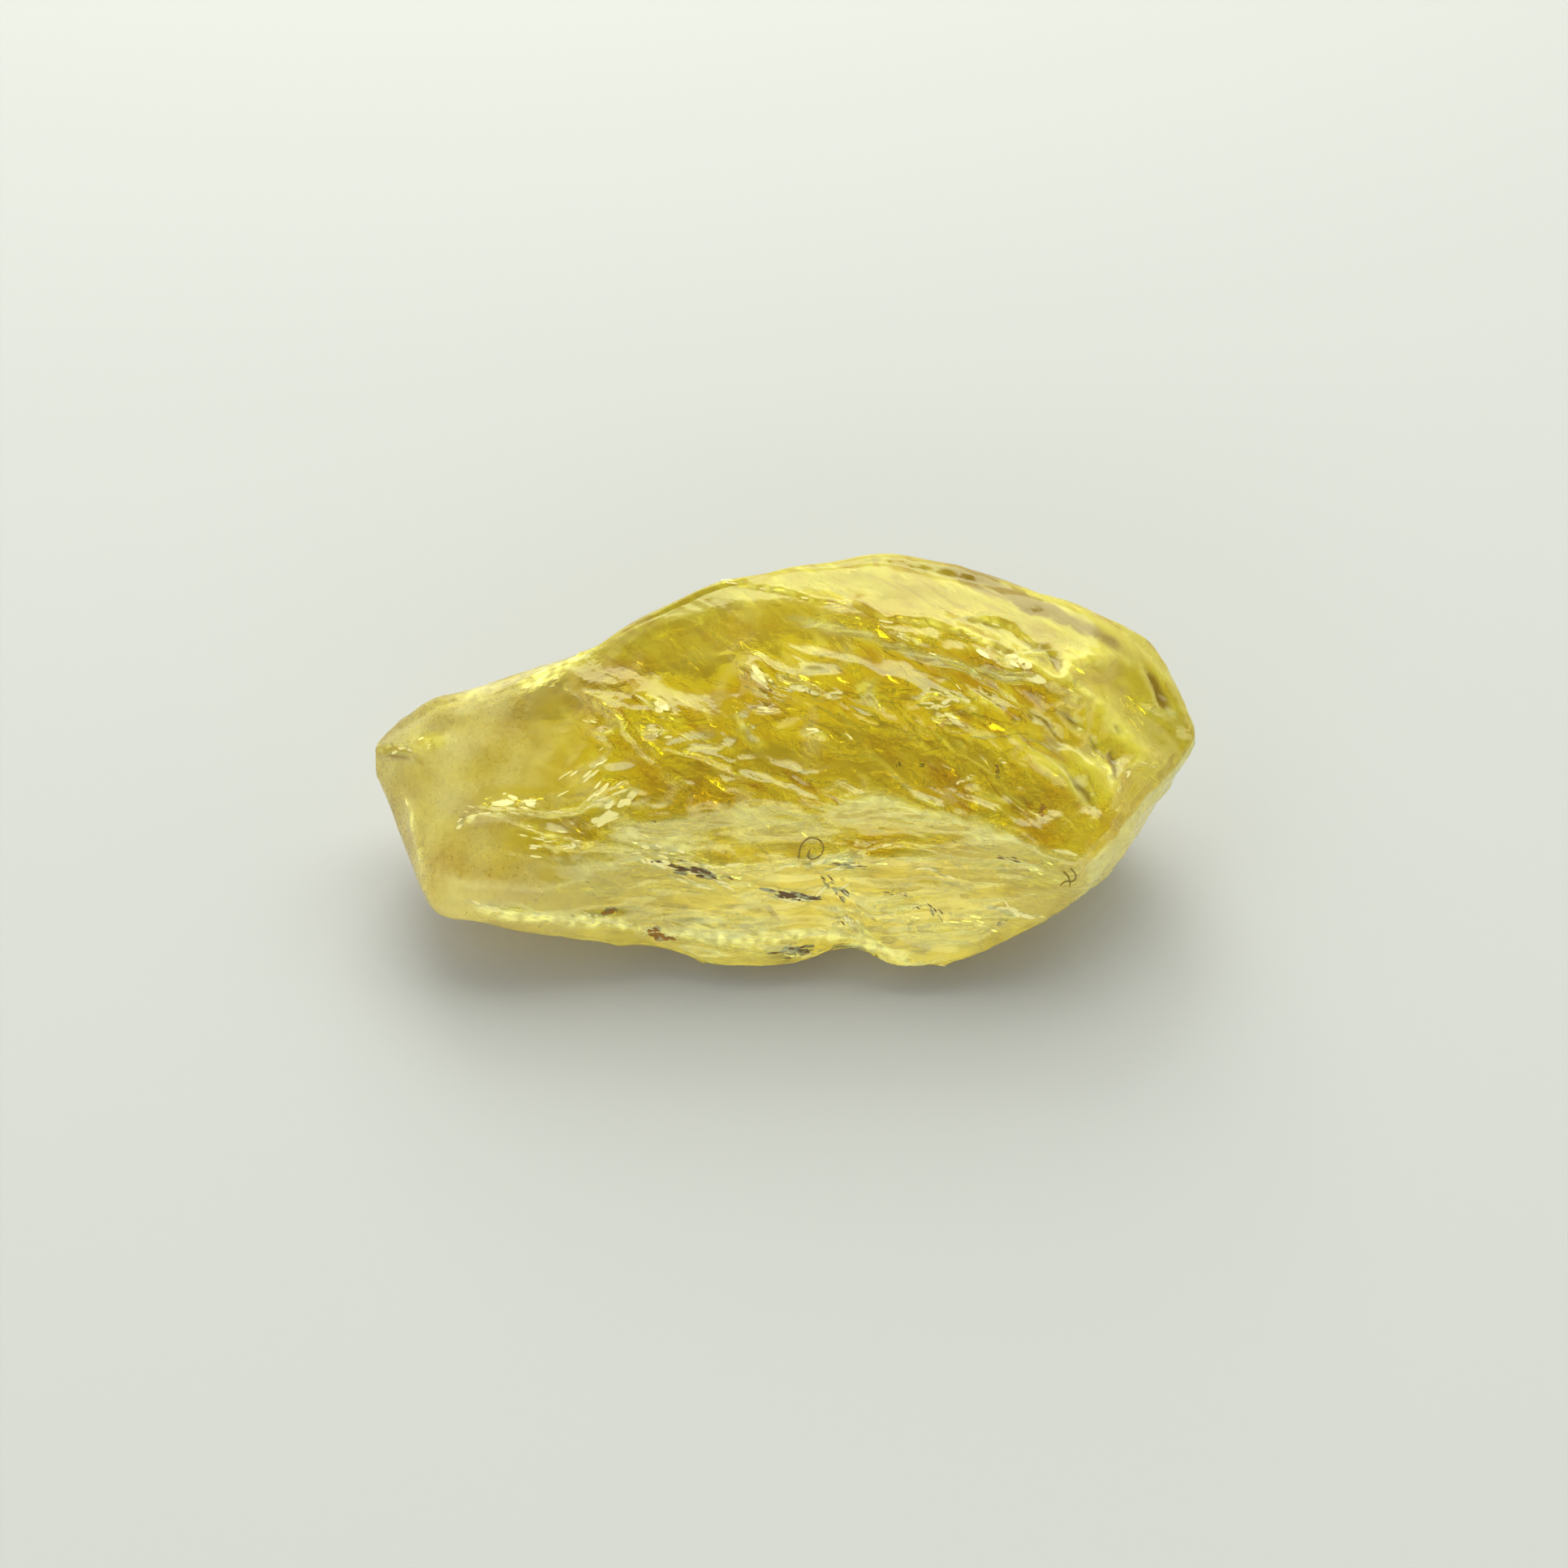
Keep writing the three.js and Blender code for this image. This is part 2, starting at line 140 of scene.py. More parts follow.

# Breaks in the surface that the photograph shows: the kind, how high it stands and how far it fades in
# millimetres, and the photograph's pixels that it runs through. A ledge stands up on the left of its path
# and a ridge on both sides of it, each with a painted highlight along its edge that is partly bruise, and a
# groove is cut in, with painted shade along it. A swell is a ridge with no bruise. A rib, a rim and a feather
# are ridges whitened partly by wear and partly by painted highlight, the rim the most and the feather the
# least.
STROKES = [
    # left end: the step at the tip, and the curved ledge with what lies below it
    ("ledge", 0.12, 0.45, [(462, 930), (473, 922), (488, 919), (501, 918), (512, 928), (510, 940)]),
    ("ledge", 0.10, 0.50, [(578, 995), (617, 996), (652, 1000), (684, 1003), (714, 996), (741, 977),
                           (769, 964), (783, 974)]),
    ("ridge", 0.05, 0.10, [(559, 1022), (580, 1008), (601, 1004), (625, 1003)]),
    ("ledge", 0.07, 0.30, [(630, 1014), (655, 1022), (684, 1033), (700, 1034), (733, 1042)]),
    ("ledge", 0.06, 0.25, [(664, 1041), (690, 1044), (720, 1046), (738, 1043)]),
    ("ridge", 0.06, 0.12, [(593, 1116), (630, 1122), (668, 1128)]),
    ("ridge", 0.06, 0.10, [(715, 1127), (751, 1131)]),
    ("ridge", 0.05, 0.20, [(497, 968), (508, 1000), (516, 1040), (520, 1078)]),
    # left of the middle: the edge of the pale facet, and the long broken line that runs down from it
    ("ledge", 0.16, 0.50, [(725, 803), (706, 820), (680, 842), (640, 856)]),
    ("ledge", 0.14, 0.40, [(695, 847), (728, 864), (756, 879), (769, 892), (769, 902), (782, 920),
                           (810, 943)]),
    ("ridge", 0.10, 0.12, [(797, 859), (812, 868), (828, 881)]),
    ("ridge", 0.07, 0.10, [(726, 888), (740, 894)]),
    ("ridge", 0.07, 0.12, [(733, 905), (764, 903)]),
    ("ledge", 0.08, 0.30, [(786, 859), (815, 880), (841, 893)]),
    ("ridge", 0.08, 0.12, [(790, 907), (815, 902), (835, 905)]),
    # middle: splinters round the brightest break
    ("ledge", 0.13, 0.30, [(909, 818), (924, 832), (950, 852)]),
    ("ridge", 0.12, 0.10, [(920, 822), (938, 836), (957, 839)]),
    ("ledge", 0.11, 0.30, [(978, 838), (1000, 846), (1019, 859), (1036, 859)]),
    ("ridge", 0.09, 0.10, [(930, 876), (971, 876)]),
    ("ledge", 0.10, 0.25, [(909, 880), (923, 907), (937, 917)]),
    ("ledge", 0.09, 0.25, [(1067, 852), (1088, 880)]),
    ("ridge", 0.10, 0.12, [(1115, 873), (1149, 859), (1190, 866)]),
    ("ledge", 0.10, 0.30, [(1150, 885), (1177, 889), (1196, 900)]),
    ("ledge", 0.08, 0.30, [(830, 925), (870, 935), (905, 955)]),
    ("ridge", 0.08, 0.12, [(985, 903), (1005, 901), (1022, 910)]),
    # right of the middle: long splinters under the pale facet
    ("ledge", 0.12, 0.40, [(1046, 738), (1088, 764), (1150, 770), (1190, 787), (1250, 806), (1273, 801)]),
    ("ledge", 0.09, 0.30, [(1088, 777), (1122, 787), (1149, 797)]),
    ("ledge", 0.11, 0.35, [(1172, 769), (1212, 765), (1246, 774), (1275, 800), (1288, 798)]),
    ("ridge", 0.10, 0.14, [(1150, 785), (1172, 776), (1206, 787), (1228, 812), (1239, 821)]),
    ("ledge", 0.10, 0.35, [(1142, 804), (1183, 818), (1218, 845), (1245, 859), (1266, 887)]),
    ("ridge", 0.08, 0.14, [(1183, 845), (1224, 873), (1252, 893)]),
    ("ledge", 0.07, 0.40, [(890, 716), (960, 728), (1012, 743), (1046, 746)]),
    ("groove", 0.02, 0.06, [(1251, 752), (1275, 757), (1290, 755)]),
    # right end: the fork, the smooth hollow and the curved ribs round it
    ("rib", 0.20, 0.22, [(1257, 814), (1284, 830), (1304, 843)]),
    ("rib", 0.20, 0.28, [(1304, 843), (1311, 827), (1320, 818), (1340, 812), (1373, 809)]),
    ("groove", 0.14, 0.12, [(1290, 803), (1300, 815), (1304, 836)]),
    ("rib", 0.26, 0.34, [(1317, 852), (1340, 859), (1358, 874), (1373, 894), (1387, 914), (1402, 928),
                         (1429, 932)]),
    ("groove", 0.18, 0.14, [(1304, 873), (1325, 890), (1338, 899)]),
    ("groove", 0.16, 0.12, [(1366, 891), (1384, 912)]),
    ("rib", 0.22, 0.26, [(1304, 921), (1326, 934), (1344, 948), (1362, 966), (1373, 988)]),
    ("rib", 0.20, 0.26, [(1239, 903), (1266, 926), (1295, 943), (1315, 963), (1335, 981)]),
    ("groove", 0.10, 0.12, [(1293, 933), (1318, 960), (1344, 991)]),
    ("groove", 0.10, 0.10, [(1366, 925), (1371, 945), (1372, 966)]),
    ("groove", 0.08, 0.10, [(1262, 868), (1290, 892), (1318, 925)]),
    ("ridge", 0.08, 0.10, [(1320, 846), (1342, 858), (1356, 868)]),
    ("ridge", 0.07, 0.10, [(1345, 925), (1362, 946), (1370, 975)]),
    ("groove", 0.09, 0.10, [(1408, 818), (1423, 845), (1438, 878)]),
    ("groove", 0.12, 0.12, [(1340, 905), (1352, 925), (1366, 950)]),
    ("groove", 0.12, 0.12, [(1322, 958), (1340, 975), (1352, 996)]),
    ("ledge", 0.14, 0.30, [(1365, 1000), (1378, 975), (1385, 950), (1402, 940), (1432, 945)]),
    ("swell", 0.05, 0.12, [(1472, 914), (1444, 932), (1408, 969), (1372, 1008), (1342, 1048),
                           (1312, 1072)]),
    # worn edges along the top of the left end
    ("rim", 0.02, 0.25, [(640, 852), (680, 828), (712, 812), (728, 806)]),
    ("feather", 0.02, 0.30, [(508, 908), (535, 916), (562, 904)]),
    ("feather", 0.02, 0.25, [(500, 888), (545, 868), (600, 852), (660, 826), (730, 796)]),
    # front: the brow, the bevel with its white streaks, and the rim of the notch
    ("swell", 0.07, 0.40, [(790, 1010), (900, 985), (1000, 985), (1100, 985), (1177, 993), (1229, 1016),
                           (1267, 1036), (1305, 1062), (1350, 1090)]),
    ("ledge", 0.08, 0.25, [(778, 1050), (827, 1058), (879, 1069), (930, 1068), (993, 1060), (1032, 1052),
                           (1100, 1040), (1200, 1053)]),
    ("groove", 0.06, 0.08, [(1030, 1115), (1045, 1130), (1064, 1156)]),
    ("rim", 0.05, 0.20, [(800, 1145), (850, 1152), (925, 1158), (965, 1154), (1000, 1153), (1040, 1150),
                         (1068, 1160), (1095, 1178), (1125, 1188), (1170, 1190)]),
    ("feather", 0.03, 0.3, [(980, 985), (1080, 988), (1150, 1000), (1200, 1015), (1250, 1035),
                            (1300, 1058)]),
    ("feather", 0.02, 0.2, [(740, 1012), (790, 1030), (850, 1040), (930, 1044)]),
    ("rim", 0.03, 0.15, [(585, 1120), (630, 1128), (700, 1134), (760, 1136), (800, 1150)]),
    ("swell", 0.02, 0.10, [(1160, 1180), (1200, 1160), (1240, 1138), (1270, 1110), (1283, 1085),
                           (1300, 1062)]),
]

# Hairline cracks in the skin, which light whitens, each given a painted highlight line: the photograph's
# pixels that each runs through
CRACKS = [
    [(583, 996), (620, 997), (657, 998), (684, 1002), (715, 1000)],
    [(692, 977), (720, 960), (746, 938)],
    [(715, 994), (735, 974), (750, 954)],
    [(719, 996), (745, 983), (774, 971)],
    [(719, 1022), (745, 1012), (774, 1004)],
    [(561, 1019), (580, 1008), (602, 1004)],
    [(630, 1012), (670, 1020), (700, 1026)],
    [(556, 1002), (590, 1003), (625, 1006)],
    [(640, 1030), (672, 1034), (700, 1036)],
    [(620, 1050), (650, 1056), (672, 1056)],
    [(690, 960), (715, 945), (738, 925)],
    [(676, 1040), (700, 1043), (739, 1044)],
    [(800, 1050), (830, 1060), (865, 1067), (930, 1067)],
    [(820, 1067), (860, 1077), (900, 1092)],
    [(830, 1080), (860, 1091), (895, 1095)],
    [(950, 1067), (1000, 1067), (1040, 1055), (1080, 1045)],
    [(1000, 1075), (1050, 1067), (1070, 1067)],
    [(1110, 1067), (1150, 1072), (1180, 1082)],
    [(950, 1105), (1000, 1110), (1015, 1095)],
    [(1020, 1102), (1040, 1090), (1052, 1100)],
    [(1230, 1105), (1250, 1125), (1295, 1132)],
    [(1090, 1127), (1140, 1110), (1150, 1120)],
    [(957, 1163), (985, 1180), (1013, 1170)],
]

# Old brown stain, and painted shade under the step at the left tip: how strong it is from 0 to 1, how far
# it spreads in millimetres, and the photograph's pixels that it runs through. Most of it lies just inside the
# crest.
STAIN_AND_SHADE_LINES = [
    (1.0, 0.16, [(1411, 817), (1427, 845), (1446, 880)]),
    (1.0, 0.22, [(1299, 805), (1304, 818), (1306, 832)]),
    (1.0, 0.3, [(1060, 692), (1080, 697), (1150, 704), (1217, 721), (1262, 738), (1306, 757), (1362, 783),
                (1395, 806)]),
    (1.0, 0.25, [(1190, 720), (1262, 744), (1306, 762), (1362, 789), (1395, 812)]),
    (0.4, 0.45, [(880, 722), (940, 708), (1000, 700), (1060, 696)]),
    (1.0, 0.14, [(1150, 773), (1188, 764), (1224, 774), (1250, 790)]),
    (1.0, 0.13, [(1212, 789), (1240, 803), (1262, 813)]),
    (1.0, 0.18, [(1248, 792), (1275, 800), (1300, 795)]),
    (1.0, 0.13, [(1082, 838), (1070, 852), (1073, 872)]),
    (1.0, 0.13, [(914, 893), (924, 910), (938, 921)]),
    (1.0, 0.14, [(1366, 925), (1370, 950), (1364, 975)]),
    # Painted shade under the step at the tip
    (1.0, 0.1, [(465, 934), (480, 931), (500, 933), (512, 940)]),
]


def linear(colour):
    """The linear RGBA of an sRGB hex colour."""
    shares = [int(colour[i:i + 2], 16) / 255 for i in (0, 2, 4)]
    return [s / 12.92 if s <= 0.04045 else ((s + 0.055) / 1.055) ** 2.4 for s in shares] + [1.0]


def add(tree, kind, inputs=None, **settings):
    """Adds a node with its settings. An input is linked if it is given as a socket, or as a node, whose
    first output in use it then takes. Otherwise it is set."""
    node = tree.nodes.new(kind)
    for name, value in settings.items():
        setattr(node, name, value)
    for name, value in (inputs or {}).items():
        if isinstance(value, bpy.types.Node):
            value = next(socket for socket in value.outputs if socket.enabled)
        if isinstance(value, bpy.types.NodeSocket):
            tree.links.new(value, node.inputs[name])
        else:
            node.inputs[name].default_value = value
    return node


def mapped(tree, value, start, end, low=0.0, high=1.0, kind="LINEAR"):
    """The value, mapped from start and end to low and high, and held there beyond them."""
    limits = {"From Min": start, "From Max": end, "To Min": low, "To Max": high}
    return add(tree, "ShaderNodeMapRange", {"Value": value, **limits}, interpolation_type=kind)


def new_material(name):
    """An empty material, and its node tree."""
    material = bpy.data.materials.new(name)
    material.use_nodes = True
    material.node_tree.nodes.clear()
    return material, material.node_tree


def plain_material(name, inputs):
    """A material that is the same all over."""
    material, tree = new_material(name)
    add(tree, OUTPUT, {"Surface": add(tree, PRINCIPLED, inputs)})
    return material


def speckled_material(name, specks, first, second, inputs):
    """A material whose colour goes from the first to the second in specks, so many to the millimetre."""
    material, tree = new_material(name)
    place = add(tree, "ShaderNodeTexCoord").outputs["Object"]
    speck = add(tree, NOISE, {"Vector": place, "Scale": specks / MM, "Detail": 3.0})
    shade = add(tree, MIX, {"Factor": speck, "A": first, "B": second}, data_type="RGBA")
    add(tree, OUTPUT, {"Surface": add(tree, PRINCIPLED, {"Base Color": shade, **inputs})})
    return material


# Smooth fields over the crystal, in millimetres. Each takes an array of points and gives a value for each.
def waves(points, size, seed=0.0):
    """Smooth noise from -1 to 1, whose swellings are about as long as size says, for all axes or for each."""
    scaled = points / np.array(size) + seed
    return np.array([noise.noise(Vector(p)) for p in scaled])


def ridges(points, size, seed=0.0):
    """Sharp-topped ridges from 0 in the troughs to 1 on the crests, as long and as far apart as size says."""
    return 1 - np.abs(waves(points, size, seed)) * 2


def bowls(points, size, seed=0.0):
    """Scallops from 0 in the middle of a bowl to about 1 on the sharp ribs between bowls."""
    scaled = points / np.array(size) + seed
    nearest = np.array([noise.voronoi(Vector(p))[0][0] for p in scaled])
    return np.clip(nearest, 0, 1) ** 2


def ramp(values, low, high):
    """0 below low, 1 above high, smooth between."""
    t = np.clip((values - low) / (high - low), 0, 1)
    return t * t * (3 - 2 * t)


def axes(way):
    """Axes for lines along a way: the first along it, the second across it and level, the third up."""
    first = Vector(way).normalized()
    second = Vector((0, 0, 1)).cross(first).normalized()
    return Matrix([first, second, first.cross(second)])


def along(points, way):
    """The points on the axes of a way."""
    return points @ np.array(axes(way)).T


def pictured(points):
    """Where the photograph shows points, in its pixels. The points are in millimetres."""
    up = np.array([0, math.sin(ELEVATION), math.cos(ELEVATION)])
    from_target = points - np.array(TARGET) / MM
    nearer = 1 - from_target @ np.array(TOWARD_CAMERA) / (DISTANCE / MM)
    across = from_target[:, 0] / nearer
    above = from_target @ up / nearer
    return PHOTO_SIDE / 2 + PIXELS_PER_MM * np.stack([across, -above], axis=1)


def beside(pixels, path):
    """How far places in the photograph are from a path in millimetres, on which side of it they are, and
    how strong the path is there. It fades to nothing at its ends."""
    path = np.array(path, dtype=float)
    lengths = np.linalg.norm(np.diff(path, axis=0), axis=1)
    nearest = np.full(len(pixels), np.inf)
    side = np.zeros(len(pixels))
    travelled = np.zeros(len(pixels))
    for start, end, length, before in zip(path, path[1:], lengths, np.cumsum(lengths) - lengths):
        way = (end - start) / length
        run = np.clip((pixels - start) @ way, 0, length)
        gap = pixels - start - run[:, None] * way
        distance = np.linalg.norm(gap, axis=1)
        closer = distance < nearest
        nearest = np.where(closer, distance, nearest)
        side = np.where(closer, np.sign(gap[:, 0] * way[1] - gap[:, 1] * way[0]), side)
        travelled = np.where(closer, (before + run) / lengths.sum(), travelled)
    return nearest / PIXELS_PER_MM, side, np.sin(np.pi * np.clip(travelled, 0.02, 0.98)) ** 0.5


def stroke(pixels, kind, height, run, path):
    """The relief of one break at places in the photograph, and how bruised it is there, with a painted
    highlight along lit edges. Below 0, it is painted shade along a groove."""
    away, side, strength = beside(pixels, path)
    edge = strength * np.exp(-(away / BRUISE_AND_HIGHLIGHT_WIDTH) ** 2)
    band = strength * np.exp(-(away / (0.8 * run)) ** 2)
    relief = BREAK_SCALE * height * strength * np.exp(-away / run)
    return {
        "ledge": (relief * ramp(side * away, -BRUISE_AND_HIGHLIGHT_WIDTH, BRUISE_AND_HIGHLIGHT_WIDTH), 0.6 * edge),
        "ridge": (relief, 0.8 * edge),
        "groove": (-relief, -band),
        "swell": (relief, 0 * edge),
        "rib": (relief, 0.7 * band),
        "rim": (relief, 1.4 * band),
        "feather": (relief, 0.45 * band),
    }[kind]


def danburite():
    """Danburite, a clear calcium borosilicate, golden from colour centres. Its index of 1.63 makes it
    glitter more than glass, and light that has passed through more of it comes out a deeper yellow."""
    material, tree = new_material("danburite")
    place = add(tree, "ShaderNodeTexCoord").outputs["Object"]
    frost, weathered, splintered, front, milky, bruise_and_highlight, stain_and_shade = (
        add(tree, "ShaderNodeAttribute", attribute_name=name).outputs["Fac"] for name in SKIN_LAYERS)

    # Streaks as long and as wide as the steps of the broken top, and of the growth lines in front
    streaks = []
    for way, size in ((SPLINTER_WAY, (1.2, 0.28, 0.45)), (GROWTH_WAY, (1.0, 0.22, 0.22))):
        turned = add(tree, "ShaderNodeMapping", {
            "Vector": place,
            "Rotation": axes(way).transposed().to_euler(),
            "Scale": Vector(size) * MM,
        }, vector_type="TEXTURE")
        streaks.append(add(tree, NOISE, {"Vector": turned, "Scale": 1.0, "Detail": 2.0, "Distortion": 0.9}))
    streak = add(tree, MIX, {"Factor": front, "A": streaks[0], "B": streaks[1]})
    pale = mapped(tree, streak, 0.56, 0.74)
    dark = mapped(tree, streak, 0.46, 0.30)

    # Grains of 0.14 mm, as etching leaves, and clouds of 1.25 mm in the gold and in the tan
    grain = add(tree, NOISE, {"Vector": place, "Scale": 7 / MM, "Detail": 2.0})
    grit = mapped(tree, grain, 0.25, 0.70)
    cloud = add(tree, NOISE, {"Vector": place, "Scale": 0.8 / MM, "Detail": 1.0})
    deeper = mapped(tree, cloud, 0.48, 0.64)
    patch = mapped(tree, cloud, 0.35, 0.65, high=0.65)
    pale_here, dark_here, golden = (
        add(tree, MATH, {0: share, 1: splintered}, operation="MULTIPLY") for share in (pale, dark, deeper))
    # Pale streaks and bruises, whose cream is partly painted highlight
    white = add(tree, MATH, {0: pale_here, 1: 0.3, 2: bruise_and_highlight}, operation="MULTIPLY_ADD", use_clamp=True)

    rub = mapped(tree, frost, 0.1, 0.5, high=0.6)
    gritty = add(tree, MATH, {0: grain, 1: 0.35}, operation="MULTIPLY")
    bump = add(tree, "ShaderNodeBump", {
        "Height": add(tree, MATH, {0: streak, 1: splintered, 2: gritty}, operation="MULTIPLY_ADD"),
        "Strength": add(tree, MATH, {0: rub, 1: splintered}, operation="MAXIMUM"),
        "Distance": 0.03 * MM,
    })

    # The clear skin, paler in front with a painted sheen, then what lies over it: gold and brown streaks, the
    #     old tan skin, stain with painted shade, and bruises with painted highlights
    colour, gold, brown = (
        add(tree, MIX, {"Factor": front, "A": linear(top), "B": linear(face)}, data_type="RGBA")
        for top, face in ((CLEAR_SKIN, FRONT_SKIN_AND_SHEEN), (GOLD_PATCH, KHAKI_STREAK), (DEEP_STREAK, KHAKI_STREAK)))
    tone = add(tree, MATH, {0: grit, 1: 0.35, 2: patch}, operation="MULTIPLY_ADD")
    tan = add(tree, MIX, {"Factor": tone, "A": linear(TAN_SKIN), "B": linear(PALE_SKIN)}, data_type="RGBA")
    for share, over in ((golden, gold), (dark_here, brown), (weathered, tan), (stain_and_shade, linear(BROWN_STAIN_AND_SHADE)),
                        (white, linear(BRUISE_AND_HIGHLIGHT))):
        colour = add(tree, MIX, {"Factor": share, "A": colour, "B": over}, data_type="RGBA")

    # Stain and painted shade, and the milky parts, take a share of diffuse skin
    matt_share = add(tree, MATH, {0: stain_and_shade, 1: 0.75, 2: milky}, operation="MULTIPLY_ADD")
    solid = add(tree, MATH, {0: white, 1: 0.85, 2: matt_share}, operation="MULTIPLY_ADD")
    pits = add(tree, MATH, {0: grit, 1: weathered}, operation="MULTIPLY")
    pitted = add(tree, MATH, {0: pits, 1: 0.2, 2: frost}, operation="MULTIPLY_ADD")
    surface = add(tree, PRINCIPLED, {
        "Base Color": colour,
        "Roughness": mapped(tree, pitted, 0, 1, 0.05, 0.6),
        "IOR": DANBURITE_IOR,
        "Transmission Weight": add(tree, MATH, {0: 1.0, 1: solid}, operation="SUBTRACT", use_clamp=True),
        "Normal": bump,
    })
    depth = add(tree, "ShaderNodeVolumeAbsorption", {"Color": LET_THROUGH, "Density": 1.1 / MM})
    add(tree, OUTPUT, {"Surface": surface, "Volume": depth})
    return material


def air_film():
    """The air in a break inside the crystal, which mirrors light as bright as metal at most angles."""
    return plain_material("air_film", {"Base Color": linear(AIR_FILM), "Metallic": 1.0, "Roughness": 0.22})


def healed_break():
    """A break that healed round countless bubbles too small to see, which bends light but takes none."""
    return plain_material("healed_break", {
        "Base Color": (1, 1, 1, 1),
        "Roughness": 0.15,
        "IOR": 1.48,
        "Transmission Weight": 1.0,
    })


def crushed_crystal():
    """Danburite crushed to splinters along the edge of a break, which scatters light white, like sugar."""
    return speckled_material("crushed_crystal", 9, linear(CRUSHED), linear(SUGAR), {
        "Roughness": 0.35,
        "IOR": DANBURITE_IOR,
        "Transmission Weight": 0.25,
    })


def grime(name, colour, roughness):
    """Rust, manganese or lint: a dull crust in a break, or a dull thread, darker where it is thicker."""
    pale = [min(1, 2.2 * c) for c in linear(colour)[:3]] + [1.0]
    return speckled_material(name, 8, linear(colour), pale, {"Roughness": roughness})


def show(name, data):
    """A new object in the scene."""
    thing = bpy.data.objects.new(name, data)
    bpy.context.scene.collection.objects.link(thing)
    return thing


def made_by(source):
    """The mesh that an object's modifiers or curves make. The object itself goes."""
    graph = bpy.context.evaluated_depsgraph_get()
    mesh = bpy.data.meshes.new_from_object(source.evaluated_get(graph), depsgraph=graph)
    bpy.data.objects.remove(source)
    return mesh


def crystal_skin():
    """The crystal's surface: the solid's form, made smooth, with the fine relief that etching and breaking
    left."""
    mesh = bpy.data.meshes.new("danburite_crystal")
    bm = bmesh.new()
    bm.from_mesh(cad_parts["crystal"].data)
    bmesh.ops.remove_doubles(bm, verts=bm.verts, dist=1e-7)
    bm.to_mesh(mesh)
    bm.free()
    rough = show("rough_form", mesh)
    smoother = rough.modifiers.new("smoother", "SUBSURF")
    smoother.levels = smoother.render_levels = 2
    fine = made_by(rough)
    wear_smooth(fine)
    crystal = show("danburite_crystal", fine)
    carve(fine)
    return crystal


def wear_smooth(mesh):
    """Rounds the edges of the old left end, the crest and the right end, as rubbing has."""
    bm = bmesh.new()
    bm.from_mesh(mesh)
    places = np.array([v.co for v in bm.verts]) / MM
    worn = (places[:, 0] < -6.5) | (places[:, 1] > 0.8) | (places[:, 0] > 6.0)
    verts = [v for v, is_worn in zip(bm.verts, worn) if is_worn]
    passes = 16
    for _ in range(passes):
        bmesh.ops.smooth_vert(bm, verts=verts, factor=0.5, use_axis_x=True, use_axis_y=True, use_axis_z=True)
    bm.to_mesh(mesh)
    bm.free()


def read_vectors(mesh, name):
    """A vector of every vertex, as an array."""
    values = np.zeros(len(mesh.vertices) * 3)
    mesh.vertices.foreach_get(name, values)
    return values.reshape(-1, 3)


